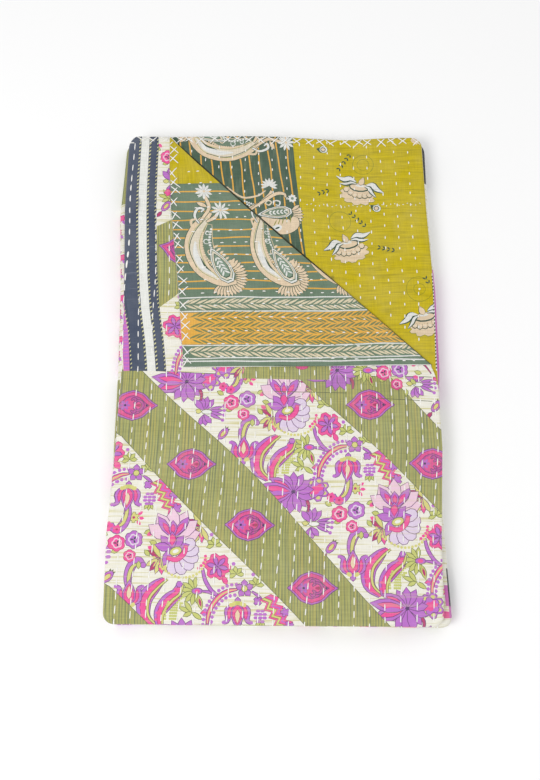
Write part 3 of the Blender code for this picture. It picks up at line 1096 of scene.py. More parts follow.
def wavy(start, end, swing, phase, count=26):
    """A hand-drawn line between two places."""
    along = np.linspace(0, 1, count)
    side = 1j * (end - start) / abs(end - start)
    length = abs(end - start)
    return start + (end - start) * along + side * swing * (
        np.sin(along * length / 17 + phase) + 0.5 * np.sin(along * length / 7.3 + 2 * phase)
    )


def rule(pen, start, end, wide, colour, swing=0.5, phase=0.0):
    line = wavy(start, end, swing, phase)
    side = 1j * (end - start) / abs(end - start) * wide / 2
    pen.lay(strip(line - side, line + side), colour)


def leafy_row(pen, left, right, middle, height, colour, pitch, wide):
    """A border row of slanting strokes that point left, braided about its middle line."""
    long = height / 2 / math.sin(math.radians(25)) - 1
    for number, place in enumerate(np.arange(left, right, pitch)):
        for side in (-1, 1):
            at = place + (0 if side > 0 else pitch / 2) + 1j * (middle + 0.8 * math.sin(place / 31))
            size = 1 + 0.12 * math.sin(2.3 * number + side)
            turn = (25 + 3 * math.sin(1.7 * number)) * side
            pen.fill(petal(long * size, wide, 0.42, 3), colour, at=at + 0.2j * side, turn=turn)


def nested_seed(pen, seed, tip, turn, rings):
    """A seed of nested rings, given as scales and colours, with its point near tip."""
    for scale, colour in rings:
        pen.fill(seed * scale, colour, at=tip + 27 * (1 - scale) * compass(turn))


def paisley(pen):
    """A comma with a seed beside it, a frill of petals, curls and two white flowers."""
    for number in range(20):
        turn = -122 + number * 9.6
        pen.ink(petal(15, 4.2, 0.6), "peach", at=51 + 114j + 12 * compass(turn), turn=turn)
    for number in range(9):
        pen.fill(petal(8.5, 2.8, 0.6), "peach", at=63 + 118j + number * (-2.9 + 4.0j), turn=36)
    comma = [41 + 198j, 27 + 180j, 19.5 + 154j, 26 + 126j, 45 + 108j, 64 + 106j]
    pen.ink(ribbon(comma, 19, 0.25, 4), "peach")
    inner = [38 + 190j, 25.5 + 172j, 20.5 + 152j, 27 + 126j, 42 + 111j]
    pen.fill(ribbon(inner, 10.5, 0.3, 4), "pale peach", "olive")
    pen.fill(ribbon([35 + 190j, 22 + 172j, 15.5 + 150j, 21 + 126j], 0.9, 0.7, 4), "dark green")
    pen.fill(ribbon([22 + 160j, 21.5 + 143j, 28 + 125j, 41 + 113j], 6.6, 0.2, 4), "pale")
    pen.fill(ribbon([26 + 139j, 30 + 128j, 36 + 120j], 2.0, 0.2, 4), "dark green")
    pen.fill(ribbon([39 + 182j, 35 + 162j, 37 + 142j, 46 + 128j], 11, 0.4, 4), "green", "peach")
    beads(pen, [31 + 172j, 29 + 156j, 32 + 138j, 42 + 122j], 1.3, 3.0, "peach")
    beads(pen, [40 + 176j, 37 + 160j, 39 + 146j], 1.6, 3.6, "pale")
    for at, size, colour in (
        (34 + 160j, 4.0, "pale"),
        (37 + 146j, 3.4, "peach"),
        (36 + 171j, 3.0, "pale"),
        (42 + 134j, 3.0, "peach"),
    ):
        curl = [at + size * compass(turn) * (0.5 + turn / 700) for turn in range(0, 340, 60)]
        pen.fill(ribbon(curl, 1.1, 0.6, 2), colour)
    seed = drop(52, 27) * compass(-66)
    tip = 37 + 152j
    rings = ((1.0, "dark green"), (0.96, "pale"), (0.86, "green"), (0.80, "pale peach"), (0.68, "dark green"))
    nested_seed(pen, seed, tip, -66, rings)
    pen.fill(seed * 0.62, "sage green", at=tip + 10.3 * compass(-66))
    for step in range(5):
        at = tip + (15 + 4.6 * step) * compass(-66)
        for side in (-1, 1):
            pen.fill(petal(5.4 + step * 0.8, 2.4), "pale", at=at, turn=-66 + 38 * side)
    pen.ink(ribbon([30 + 188j, 40 + 204j, 38 + 216j, 36 + 222j], 4, 0.6), "peach")
    pen.ink(ribbon([36 + 186j, 46 + 192j, 50 + 198j], 4.4, 0.5), "peach")
    pen.fill(ribbon([28 + 184j, 24 + 194j, 28 + 204j, 34 + 203j, 31 + 199j], 3, 0.5, 4), "pale", "dark green")
    pen.fill(ribbon([20 + 178j, 20 + 188j, 26 + 190j], 3, 0.5), "peach")
    pen.ink(petal(13, 5), "peach", at=38 + 206j, turn=150)
    for at, size in ((36.5 + 227j, 11), (54 + 201j, 12.5)):
        flower(pen, 10, size, 3.4, "pale", turn=12, at=at)
        pen.fill(disc(1.7, 5), "peach", at=at)


def green_cloth(pen):
    """The green cloth at the corner on face B: ruled lines, paisleys and a woven-looking border."""
    pen.lay([0, 620, 620 + 238j, 238j], "green", "green")
    heights = (226.6, 212.9, 200.7, 188.7, 175.4, 164.6, 152.8, 142.3, 131.7, 120, 108.5, 98)
    for number, height in enumerate(heights):
        rule(pen, 1j * height, 330 + 1j * height, 1.7, "orange", 0.55, number * 1.7)
    for at in (0, 74, 148, 222):
        paisley(pen.placed(at))
    pen.lay([27.6j, 340 + 27.6j, 340 + 67.8j, 67.8j], "orange")
    for height, wide in ((86.9, 1.5), (69.1, 1.5), (26.2, 1.4), (10.4, 1.4), (6.4, 1.6)):
        rule(pen, 1j * height, 340 + 1j * height, wide, "pale", 0.35, height)
    leafy_row(pen, 2, 330, 78, 14.6, "straw", 7.4, 2.6)
    leafy_row(pen, 4, 330, 17.8, 14.0, "straw", 7.3, 2.6)
    for middle in (34, 47.7, 61.3):
        leafy_row(pen, 3 + middle / 9, 330, middle, 14.2, "moss green", 7.4, 2.5)


def lotus(pen):
    """A peach lotus seen from its side, with four pale leaves and a row of scallops."""
    base = lobed(22.5, 10, 0.2, 3)
    pen.fill(base.real + 0.56j * base.imag, "peach", "sage", at=-2.4 - 8.2j, turn=-12)
    for at in (-15.5 + 1j, -10.5 - 3.5j, -5.5 - 6.5j, 0.3 - 8.2j, 6.2 - 8.6j, 12 - 7.4j):
        pen.fill(disc(3.8, 8), "dark green", at=at - 0.6j)
        pen.fill(disc(3.3, 7), "peach", at=at)
        pen.fill(disc(1.5, 5), "pale peach", at=at - 0.4j)
    pen.fill(oval(25, 12, 12), "dark green", at=2.8j, turn=-10)
    pen.fill(oval(22, 9.4, 12), "peach", at=3.4j, turn=-10)
    pen.fill(oval(11, 3.2, 8), "pale", at=1 + 5j, turn=-10)
    for path, wide in (
        ([5.9 + 3.7j, 12 + 1j, 15 - 5j, 20 - 11.7j], 4.4),
        ([-2.4 + 7.4j, -9 + 9.4j, -16 + 7.6j, -23.7 + 8.6j], 4.4),
        ([8.3 + 4.9j, 16 + 5j, 21 - 1j, 29.6 - 6.2j], 7.2),
        ([-3 + 9.9j, -10 + 14.5j, -18 + 13.6j, -27 + 17.9j], 6.8),
    ):
        pen.fill(ribbon(path, wide + 1.6, 0.12, 4), "dark green")
        pen.fill(ribbon([place - 0.3 + 0.5j for place in path], wide - 1.2, 0.08, 4), "pale")
    pen.fill(petal(13, 8.0, 0.4), "dark green", at=1 + 4.6j, turn=66)
    pen.fill(petal(12, 6.8, 0.4), "peach", at=1 + 5j, turn=66)


def vine(pen, long):
    """A small broken sprig of dark leaves."""
    for step in np.arange(0, long, 5.6):
        for side in (-1, 1):
            pen.fill(petal(4.8, 2.0), "dark green", at=step + 4.2, turn=180 + 38 * side)


def ring(pen, radius):
    outer, inner = disc(radius, 22), disc(radius - 0.5, 22)
    half = len(outer) // 2 + 1
    pen.lay(strip(outer[:half], inner[:half]), "sage")
    pen.lay(strip(np.append(outer[half - 1 :], outer[0]), np.append(inner[half - 1 :], inner[0])), "sage")


def small_bud(pen):
    pen.fill(petal(14, 8, 0.5), "dark green", at=-8 + 2j, turn=-22)
    pen.fill(oval(9.6, 9, 10), "pale", "sage", at=0.8)
    pen.fill(oval(6.8, 6.4, 8), "dark green", at=0.2)
    pen.fill(oval(5, 4.6, 8), "peach", at=0.2)


def seed_spray(pen):
    """The part of a paisley that lies beside the turned corner: its seed, frill, curls and two flowers."""
    pen.fill(ribbon([-60 + 226j, -41 + 212j, -23 + 214j, -13 + 221j], 2.4, 0.6, 4), "peach")
    beads(pen, [-38 + 207j, -31 + 204j, -24 + 201j], 1.3, 2.8, "pale")
    beads(pen, [-35 + 203j, -28 + 199j], 1.3, 2.8, "pale")
    for number in range(12):
        turn = -96 + number * 12.4
        pen.ink(petal(13, 4.0, 0.6), "peach", at=12 + 191j + 7 * compass(turn), turn=turn)
    pen.ink(ribbon([-19 + 185j, -8 + 178j, 6 + 174.5j, 19 + 179j, 22 + 188j], 19, 0.3, 4), "peach")
    for number in range(5):
        pen.fill(petal(11, 1.2), "sage", at=-5 + 5.2 * number + 174j + 1.4j * number, turn=62 + 6 * number)
    pen.fill(oval(14, 8.6), "pale", at=-1 + 172.5j, turn=24)
    pen.fill(petal(7, 2.4), "dark green", at=-3 + 171.5j, turn=24)
    for path, wide in (
        ([-37 + 196j, -21 + 203j, -9 + 214j, -6 + 221j], 5.0),
        ([-31 + 196j, -14 + 208j, -1 + 217j, 9 + 217.5j, 11 + 213j], 4.0),
    ):
        pen.ink(ribbon(path, wide, 0.5, 4), "peach")
    pen.fill(ribbon([-14 + 204j, -10 + 208j, -6 + 206j, -9 + 202j, -13 + 204j], 1.8, 0.6), "pale peach")
    pen.fill(ribbon([-4 + 203j, -2 + 208j, 4 + 207j, 3 + 202j, -1 + 203j], 1.7, 0.6), "pale")
    for number in range(9):
        pen.fill(petal(10.6, 2.9, 0.6), "pale", at=-8.8 + 227.5j, turn=-18 + number * 27)
    flower(pen, 8, 5.8, 3.2, "pale", turn=10, at=19 + 212j)
    pen.fill(disc(2, 6), "sage green", at=19 + 212j)
    seed = drop(44, 20) * compass(8)
    tip = -24 + 189.6j
    rings = ((1.0, "dark green"), (0.95, "pale"), (0.84, "dark green"), (0.78, "pale peach"), (0.66, "green"))
    nested_seed(pen, seed, tip, 8, rings)
    for step in range(5):
        for side in (-1, 1):
            pen.fill(petal(4.8, 2.0), "pale", at=tip + (15 + 4.4 * step) * compass(8), turn=8 + 36 * side)


def second_cloths(pen):
    """Face B of the second layer: green cloth beside mustard cloth, each with its own print, and a painted
    shadow strip along the diagonal fold.
    """
    boundary = np.array([36 + 110j, 33.4 + 136.6j, 30 + 190j, 25 + 240j, 20.9 + 294j])
    pen.lay(strip(-260 + 1j * boundary.imag, boundary), "deep green", "green")
    for number in range(14):
        start = -136.3 + number * 11.78
        rule(pen, start + 13.9 + 136j, start - 5.1 + 292j, 1.7, "orange", 0.6, number * 2.1)
    paisley(Swapped(pen, -205.6 + 244.3j, 0.965))
    seed_spray(pen.placed(1.5 - 5j))
    for at, turn, stretch in ((101.2 + 221.5j, 0, 1), (84.5 + 147.6j, 0, -1), (168.5 + 55.5j, 0, -1)):
        lotus(pen.placed(at, turn, stretch))
    for at, turn, long in (
        (76 + 247j, 54, 26),
        (50.6 + 214.7j, 23, 16),
        (88 + 192j, -46, 26),
        (118 + 146j, -14, 19),
        (170 + 108j, -60, 8),
    ):
        vine(pen.placed(at, turn), long)
    for at, turn in ((58.7 + 274.5j, 10), (120.5 + 196j, -20)):
        small_bud(pen.placed(at, turn))
    for number, across in enumerate(range(38, 178, 5)):
        pen.fill(oval(2.2, 1.1, 5), "pale", at=across + 200j + 1.3j * math.sin(1.9 * number), turn=31 * number)
    for at, radii in ((107 + 254j, (13, 7.5)), (163.5 + 92.5j, (15.5, 7)), (76.5 + 180j, (13,))):
        for radius in radii:
            ring(pen.placed(at), radius)
    pen.fill(disc(1.3, 6), "pale", at=163.5 + 92.5j)
    pen.fill(petal(12, 12), "peach", at=174 + 279j, turn=100)
    pen.lay([178.7 - 6j, 180 - 6j, 180 + 112j, 179.2 + 112j], "pale")
    for height in np.arange(-4, 110, 4.1):
        pen.lay(np.array([178.7, 180 + 0.8j, 180 + 2.8j, 178.7 + 2j]) + 1j * height, "shade")
    # Painted shadow: a dark strip on the second layer along the diagonal fold, where the turned corner's shade
    # falls
    fold = np.array([-127.6 + 286.2j, -91 + 250.8j, -22.7 + 184.4j, 80 + 88.6j, 174 + 0.5j])
    normal = 0.685 + 0.728j
    pen.lay(strip(fold - 3 * normal, fold + np.array([0.5, 0.8, 1.0, 1.0, 0.3]) * normal), "shade")


class Swapped(Pen):
    """A pen that draws x upwards and y across, at a size across."""

    def __init__(self, pen, shift, size):
        super().__init__(pen.shapes, pen.frame, shift)
        self.size = size

    def lay(self, shape, colour, cloth=None):
        shape = np.asarray(shape, complex)
        self.shapes.append((self.frame(self.at + shape.imag * self.size + 1j * shape.real), colour, cloth))


def face_b_shapes():
    """Everything printed or sewn on face B."""
    shapes = []
    pen = Pen(shapes, flap)
    long, wide = 1000 * FLAT_LENGTH, 1000j * FLAT_WIDTH
    pen.lay([0, long, long + wide, wide], "mustard", "mustard")
    green_cloth(pen)
    second_cloths(Pen(shapes, second_layer))
    return shapes


def signed_area(shape):
    ahead = np.roll(shape, -1, axis=0)
    return np.sum(shape[:, 0] * ahead[:, 1] - ahead[:, 0] * shape[:, 1]) / 2


def spilt_shapes(flat, faces, covers, shapes):
    """Shapes that the triangulation has spread past their outlines, by rounding. They are left out."""
    first, second, third = (flat[faces[:, corner]] for corner in range(3))
    one, two = second - first, third - first
    areas = np.abs(one[:, 0] * two[:, 1] - one[:, 1] * two[:, 0]) / 2
    covered_area = np.zeros(len(shapes))
    for area, over in zip(areas, covers):
        covered_area[over] += area
    own = np.array([abs(signed_area(shape)) for shape, colour, cloth in shapes])
    return set(np.flatnonzero(covered_area > 2 * own + 1e-5).tolist())


def within(points, outline):
    """Which points lie inside a closed outline."""
    x, y = points[:, :1], points[:, 1:]
    (ax, ay), (bx, by) = outline.T, np.roll(outline, -1, axis=0).T
    slope = (bx - ax) / np.where(by == ay, 1.0, by - ay)
    crossed = ((ay > y) != (by > y)) & (x < ax + slope * (y - ay))
    return crossed.sum(axis=1) % 2 == 1


def showing(shapes, seen):
    """The shapes without those that lie where nothing shows, or wholly under a cloth laid down later."""
    low = np.array([shape.min(axis=0) for shape, colour, cloth in shapes])
    high = np.array([shape.max(axis=0) for shape, colour, cloth in shapes])
    kept = np.array([bool(cloth) or bool(np.any(seen(*shape.T))) for shape, colour, cloth in shapes])
    for later, (patch, _, cloth) in enumerate(shapes):
        if cloth and later:
            nested = (low[:later] > low[later]).all(axis=1) & (high[:later] < high[later]).all(axis=1)
            for number in np.flatnonzero(nested & kept[:later]):
                if not shapes[number][2] and within(shapes[number][0], patch).all():
                    kept[number] = False
    return [shape for shape, keep in zip(shapes, kept) if keep]


def laid_out(shapes, shown, seen):
    """One face of the flat sheet, cut along its prints: points, triangles, colours and cloths."""
    shapes = showing(shapes, seen)
    points, edges = base_points(shown, seen)
    outlines = []
    for shape, colour, cloth in shapes:
        ordered = shape if signed_area(shape) > 0 else shape[::-1]
        outlines.append(list(range(len(points), len(points) + len(ordered))))
        points += [tuple(point) for point in ordered]
    flat, _, faces, _, _, covers = delaunay_2d_cdt(points, edges, outlines, 0, MERGE)
    flat = np.array([tuple(point) for point in flat])
    spilt = spilt_shapes(flat, np.array(faces), covers, shapes)
    kept, colours, cloths = [], [], []
    for face, over in zip(faces, covers):
        if 0 in over:
            over = [number for number in over if number not in spilt]
            kept.append(face)
            colours.append(shapes[max(over)][1])
            cloths.append(shapes[max(number for number in over if shapes[number][2])][2])
    faces = np.array(kept)
    used = np.unique(faces)
    renumbered = np.full(len(flat), -1)
    renumbered[used] = np.arange(len(used))
    flat, faces = flat[used], renumbered[faces]
    first, second, third = (flat[faces[:, corner]] for corner in range(3))
    turning = (second - first)[:, 0] * (third - first)[:, 1] - (second - first)[:, 1] * (third - first)[:, 0]
    faces[turning < 0] = faces[turning < 0][:, ::-1]
    return flat, faces, colours, cloths


def rim_order(flat):
    """Points on the flat sheet's outline, in order round it from its corner at the origin."""
    u, v = flat.T
    wide, long = FLAT_WIDTH, FLAT_LENGTH
    near = 3 * MERGE
    round_it = np.full(len(u), -1.0)
    round_it[u < near] = (2 * wide + 2 * long - v)[u < near]
    round_it[v > long - near] = (2 * wide + long - u)[v > long - near]
    round_it[u > wide - near] = (wide + v)[u > wide - near]
    round_it[v < near] = u[v < near]
    on_rim = np.flatnonzero(round_it >= 0)
    order = np.argsort(round_it[on_rim])
    return on_rim[order], round_it[on_rim][order]


def rim_faces(top, bottom, middle):
    """Faces that close the sheet's edge: quads from face A to the middle line, triangles on to face B."""
    (ring, places_a), (under, places_b) = top, bottom
    count = len(ring)
    faces = []
    for step in range(count):
        faces.append((ring[(step + 1) % count], ring[step], middle[step], middle[(step + 1) % count]))
    at, low = 0, 0
    while at < count or low < len(under):
        next_at = places_a[at + 1] if at + 1 < count else math.inf
        next_low = places_b[low + 1] if low + 1 < len(under) else math.inf
        here, there = middle[at % count], under[low % len(under)]
        if low >= len(under) or (at < count and next_at <= next_low):
            faces.append((middle[(at + 1) % count], here, there))
            at += 1
        else:
            faces.append((here, there, under[(low + 1) % len(under)]))
            low += 1
    return faces


def quilt_mesh(laid_a, laid_b):
    """The folded sheet as one closed mesh, with each face's print as colours and its cloth as materials."""
    flat_a, tris_a, colours_a, cloths_a = laid_a
    flat_b, tris_b, colours_b, cloths_b = laid_b
    ring, places_a = rim_order(flat_a)
    under, places_b = rim_order(flat_b)
    edge = flat_a[ring]
    out = np.sign(edge - (FLAT_WIDTH / 2, FLAT_LENGTH / 2))
    size = np.array((FLAT_WIDTH, FLAT_LENGTH))
    on_edge = (edge < 3 * MERGE) | (edge > size - 3 * MERGE)
    bulged = edge + out * on_edge * RIM_BULGE
    count_a, count_b = len(flat_a), len(flat_b)
    points = np.concatenate([
        folded(*flat_a.T, np.full(count_a, CLOTH / 2)),
        folded(*flat_b.T, np.full(count_b, -CLOTH / 2)),
        folded(*bulged.T, np.zeros(len(ring))),
    ])
    middle = count_a + count_b + np.arange(len(ring))
    sides = rim_faces((ring, places_a), (under + count_a, places_b), middle)
    faces = tris_a.tolist() + (tris_b[:, ::-1] + count_a).tolist() + sides
    mesh = bpy.data.meshes.new("quilt cloth")
    mesh.from_pydata(points.tolist(), [], [tuple(int(corner) for corner in face) for face in faces])
    colours = colours_a + colours_b + ["thread"] * len(sides)
    cloths = cloths_a + cloths_b + ["hem"] * len(sides)
    mesh.polygons.foreach_set("material_index", [CLOTHS.index(cloth) for cloth in cloths])
    write_flat(mesh, np.concatenate([flat_a, flat_b, edge]))
    write_colours(mesh, colours)
    mesh.shade_smooth()
    return mesh, points


def write_flat(mesh, flat):
    """Keep each point's place on the flat sheet, and its quilting row, for the materials."""
    kept = mesh.attributes.new("flat", "FLOAT_VECTOR", "POINT")
    rows = row_number(*flat.T)
    kept.data.foreach_set("vector", np.column_stack([flat, rows]).astype(np.float32).ravel())


def write_colours(mesh, colours):
    """The print, a colour on every face. Alpha is 1 on grounds and 0 on what is printed over them."""
    palette = {
        name: (*(PRINT_STRENGTH * part for part in srgb(code)), float(name in GROUNDS))
        for name, code in COLOURS.items()
    }
    kept = mesh.color_attributes.new("print", "FLOAT_COLOR", "CORNER")
    corners = np.repeat([palette[name] for name in colours], [len(face.vertices) for face in mesh.polygons], 0)
    kept.data.foreach_set("color", corners.astype(np.float32).ravel())


def srgb(code):
    """A colour written as six hexadecimal digits, in linear light."""
    parts = (int(code[place : place + 2], 16) / 255 for place in (0, 2, 4))
    return tuple(part / 12.92 if part < 0.04045 else ((part + 0.055) / 1.055) ** 2.4 for part in parts)


def thread(path):
    """A stitch along a path of places, lifts and ways across: a closed sliver, as points and faces."""
    count = len(path)
    points, faces = [], []
    for number, (u, v, lift, across_u, across_v) in enumerate(path):
        part = number / (count - 1)
        full = math.sin(math.pi * part) ** 0.45 if 0 < part < 1 else 0.0
        if full == 0:
            points.append((u, v, lift))
            continue
        for side, up in ((-1, 0), (-0.55, 0.8), (0.55, 0.8), (1, 0), (0, -0.6)):
            aside = [across * side * full * THREAD_WIDTH / 2 for across in (across_u, across_v)]
            points.append((u + aside[0], v + aside[1], lift + up * full * THREAD_HEIGHT))
    rings = count - 2
    around = 5
    for step in range(around):
        after = (step + 1) % around
        faces.append((0, 1 + step, 1 + after))
        for number in range(rings - 1):
            here, there = 1 + number * around, 1 + (number + 1) * around
            faces.append((here + step, there + step, there + after, here + after))
        last = 1 + (rings - 1) * around
        faces.append((last + after, last + step, last + around))
    return points, faces


def row_line(row, v):
    """Where a quilting row crosses each v."""
    u = FIRST_ROW + ROW_PITCH * row
    for _ in range(6):
        u = u - (row_number(u, v) - row) * ROW_PITCH
    return u


def shows(u, v, face):
    """Whether a stitch here can be seen from outside."""
    top = u < WIDTH_LEGS[0][0] + FOLD_SIGHT
    under = u > FLAT_WIDTH - WIDTH_LEGS[-1][0] - FOLD_SIGHT
    first = v < LENGTH_LEGS[0][0] + 0.008
    past = past_diagonal(u, v)
    bend = math.pi * TURN_RADIUS + 0.002
    if face > 0:
        place = (PACKET_WIDTH / 2 - u) * 1000 + 1j * (PACKET_LENGTH / 2 - v) * 1000
        near = abs(v - LENGTH_LEGS[0][0]) < 0.010
        return (first and top and past < -0.004 and not covered(place)) or (first and under) or near
    if first:
        return top and past > bend
    return top and v > FLAT_LENGTH - LENGTH_LEGS[-1][0] and past_diagonal(u, FLAT_LENGTH - v) > 0.003


def running_stitches():
    """Every running stitch that can be seen, as paths on the flat sheet with the face that it lies on."""
    wander = np.random.default_rng(7)
    paths = []
    for row in range(int((FLAT_WIDTH - FIRST_ROW) / ROW_PITCH)):
        middles = np.arange(0.012, FLAT_LENGTH - 0.006, STITCH_PITCH) + wander.uniform(0, STITCH_PITCH)
        middles = middles + wander.normal(0, 0.0007, len(middles))
        sizes = wander.uniform(0.82, 1.12, len(middles))
        for middle, size in zip(middles, sizes):
            for face, at, long in ((1, middle, STITCH_LONG), (-1, middle + STITCH_PITCH / 2, STITCH_SHORT)):
                if 0.004 < at < FLAT_LENGTH - 0.004:
                    u = row_line(row, np.array([at]))[0]
                    if 0.003 < u < FLAT_WIDTH - 0.003 and shows(u, at, face):
                        v = at + long * size * np.linspace(-0.5, 0.5, 6)
                        lift = np.array([-0.5, 0.15, 0.3, 0.3, 0.15, -0.5]) * 0.001
                        if u > FLAT_WIDTH - WIDTH_LEGS[-1][0]:
                            lift = np.minimum(lift, -0.0003)
                        paths.append((face, row_line(row, v), v, lift, 1.0, 0.0))
    return paths


def crossed_stitches():
    """Crosses over both far edges, on the faces that can be seen there."""
    wander = np.random.default_rng(11)
    paths = []
    for far, way in ((0.0, 1), (FLAT_LENGTH, -1)):
        for middle in np.arange(0.007, FLAT_WIDTH - 0.006, CROSS_PITCH):
            middle = middle + wander.normal(0, 0.0012)
            for face in (1, -1):
                if not edge_shows(middle, far, face):
                    continue
                for lean in (-1, 1):
                    depth = CROSS_DEPTH * wander.uniform(0.6, 1.15)
                    skew = wander.normal(0, 0.0014)
                    part = np.array([0, 0.12, 0.4, 0.7, 0.93, 1.0])
                    u = middle + skew + lean * CROSS_HALF_WIDTH * (1 - 2 * part)
                    v = far + way * depth * (1 - part)
                    lift = np.array([-0.5, 0.3, 0.55, 0.5, 0.35, -0.9]) * 0.001
                    long = math.hypot(2 * CROSS_HALF_WIDTH, depth)
                    square = (-way * depth / long, 2 * lean * CROSS_HALF_WIDTH / long)
                    paths.append((face, np.clip(u, 0.0005, FLAT_WIDTH - 0.0005), v, lift, *square))
    return paths


def edge_shows(u, far, face):
    """Whether a cross at u on the edge at far can be seen on this face."""
    if far > 0:
        return face < 0 and u < 0.352
    if face < 0:
        return u < TURN_ON_FAR_EDGE - 0.006
    return TURN_ON_FAR_EDGE + 0.004 < u < 0.366


def thread_mesh(name, paths):
    """Stitches as one mesh, folded with the cloth that they lie on."""
    places, faces, sides = [], [], []
    for face, u, v, lift, across_u, across_v in paths:
        points, corners = thread([(*place, across_u, across_v) for place in zip(u, v, lift)])
        begun = len(places)
        places += points
        sides += [face] * len(points)
        order = 1 if face > 0 else -1
        faces += [tuple(begun + corner for corner in corners_of[::order]) for corners_of in corners]
    u, v, lift = np.array(places).T
    sides = np.array(sides)
    points = folded(u, v, sides * (CLOTH / 2 + lift))
    mesh = bpy.data.meshes.new(name)
    mesh.from_pydata(points.tolist(), [], faces)
    mesh.shade_smooth()
    return mesh


PINSTRIPE_PITCH = 0.0033  # between the dark threads of the olive cloth

# For each cloth: slub lines (per metre across, per metre along, threshold, share, colour), thread lines
# per metre across and along that darken it, and how strongly it is creased across its rows
FINISHES = {
    "floral": ((12, 430, 0.52, 0.95, "d6d09a"), (900, 60, 0.06), (60, 1000, 0.08), 0.5),
    "olive": ((700, 9, 0.52, 0.80, "66735f"), (1100, 30, 0.14), (25, 520, 0.14), 0.5),
    "border": ((30, 300, 0.62, 0.30, "8d94a3"), (1200, 60, 0.12), (60, 1200, 0.12), 0.5),
    "mustard": ((24, 260, 0.54, 0.45, "a99a0c"), (900, 40, 0.12), (30, 700, 0.22), 1.0),
    "green": ((300, 24, 0.55, 0.40, "7c8c74"), (900, 50, 0.16), (50, 900, 0.16), 0.8),
    "hem": ((200, 200, 0.60, 0.30, "d8d6c0"), (900, 50, 0.10), (50, 900, 0.10), 0.3),
}


def connect(tree, made, **inputs):
    """Give a node its inputs, named or numbered with in0, in1 and so on. Each is a value or a socket."""
    for name, value in inputs.items():
        key = int(name[2:]) if name[:2] == "in" and name[2:].isdigit() else name.replace("_", " ")
        if isinstance(value, bpy.types.NodeSocket):
            tree.links.new(value, made.inputs[key])
        else:
            made.inputs[key].default_value = value
    return made


def node(tree, kind, operation=None, **inputs):
    made = tree.nodes.new(kind)
    if operation:
        made.operation = operation
    return connect(tree, made, **inputs)


def math_node(tree, operation, first, second=0.0, third=0.0):
    return node(tree, "ShaderNodeMath", operation, in0=first, in1=second, in2=third).outputs[0]


def product(tree, first, second):
    return math_node(tree, "MULTIPLY", first, second)


def threads_across(tree, flat, per_u, per_v, detail=2.0):
    """Fine uneven lines of the weave. The lines run along the axis with the smaller number per metre."""
    scaled = node(tree, "ShaderNodeVectorMath", "MULTIPLY", in0=flat, in1=(per_u, per_v, 0.0)).outputs[0]
    noise = node(tree, "ShaderNodeTexNoise", Vector=scaled, Scale=1.0, Detail=detail, Roughness=0.6)
    return noise.outputs["Fac"]


def band_pass(tree, value, low, high):
    """0 below low, 1 above high, and even between them."""
    return node(tree, "ShaderNodeMapRange", Value=value, From_Min=low, From_Max=high).outputs[0]


def pinstripes(tree, flat, slubs):
    """Thin dark threads at an even pitch across the cloth, each of uneven strength."""
    across = node(tree, "ShaderNodeSeparateXYZ", in0=flat).outputs[0]
    wander = product(tree, threads_across(tree, flat, 110, 6), 7.0)
    wave = math_node(tree, "SINE", math_node(tree, "MULTIPLY_ADD", across, math.tau / PINSTRIPE_PITCH, wander))
    thin = band_pass(tree, wave, -0.1, 0.9)
    strength = band_pass(tree, threads_across(tree, flat, 260, 16), 0.25, 0.6)
    return math_node(tree, "MAXIMUM", product(tree, thin, strength), product(tree, slubs, 0.4))


def mixed(tree, factor, first, second, blend="MIX"):
    made = tree.nodes.new("ShaderNodeMix")
    made.data_type = "RGBA"
    made.blend_type = blend
    return connect(tree, made, in0=factor, in6=first, in7=second).outputs[2]


def puckers(tree, flat):
    """Height of the small dimples that the stitches pull along their rows."""
    split = node(tree, "ShaderNodeSeparateXYZ", in0=flat)
    along, row = split.outputs[1], math_node(tree, "ADD", split.outputs[2], 0.5)
    off_row = math_node(tree, "ABSOLUTE", math_node(tree, "SUBTRACT", math_node(tree, "FRACT", row), 0.5))
    near_row = math_node(tree, "SUBTRACT", 1.0, product(tree, off_row, 3.2))
    near_row = math_node(tree, "POWER", math_node(tree, "MAXIMUM", near_row, 0.0), 2.0)
    phase = product(tree, math_node(tree, "FLOOR", row), 2.1)
    turn = math_node(tree, "MULTIPLY_ADD", along, math.tau / STITCH_PITCH, phase)
    return product(tree, near_row, math_node(tree, "SINE", turn))


def new_material(name):
    """A material, with its node tree and its main shader."""
    material = bpy.data.materials.new(name)
    material.use_nodes = True
    return material, material.node_tree, material.node_tree.nodes["Principled BSDF"]


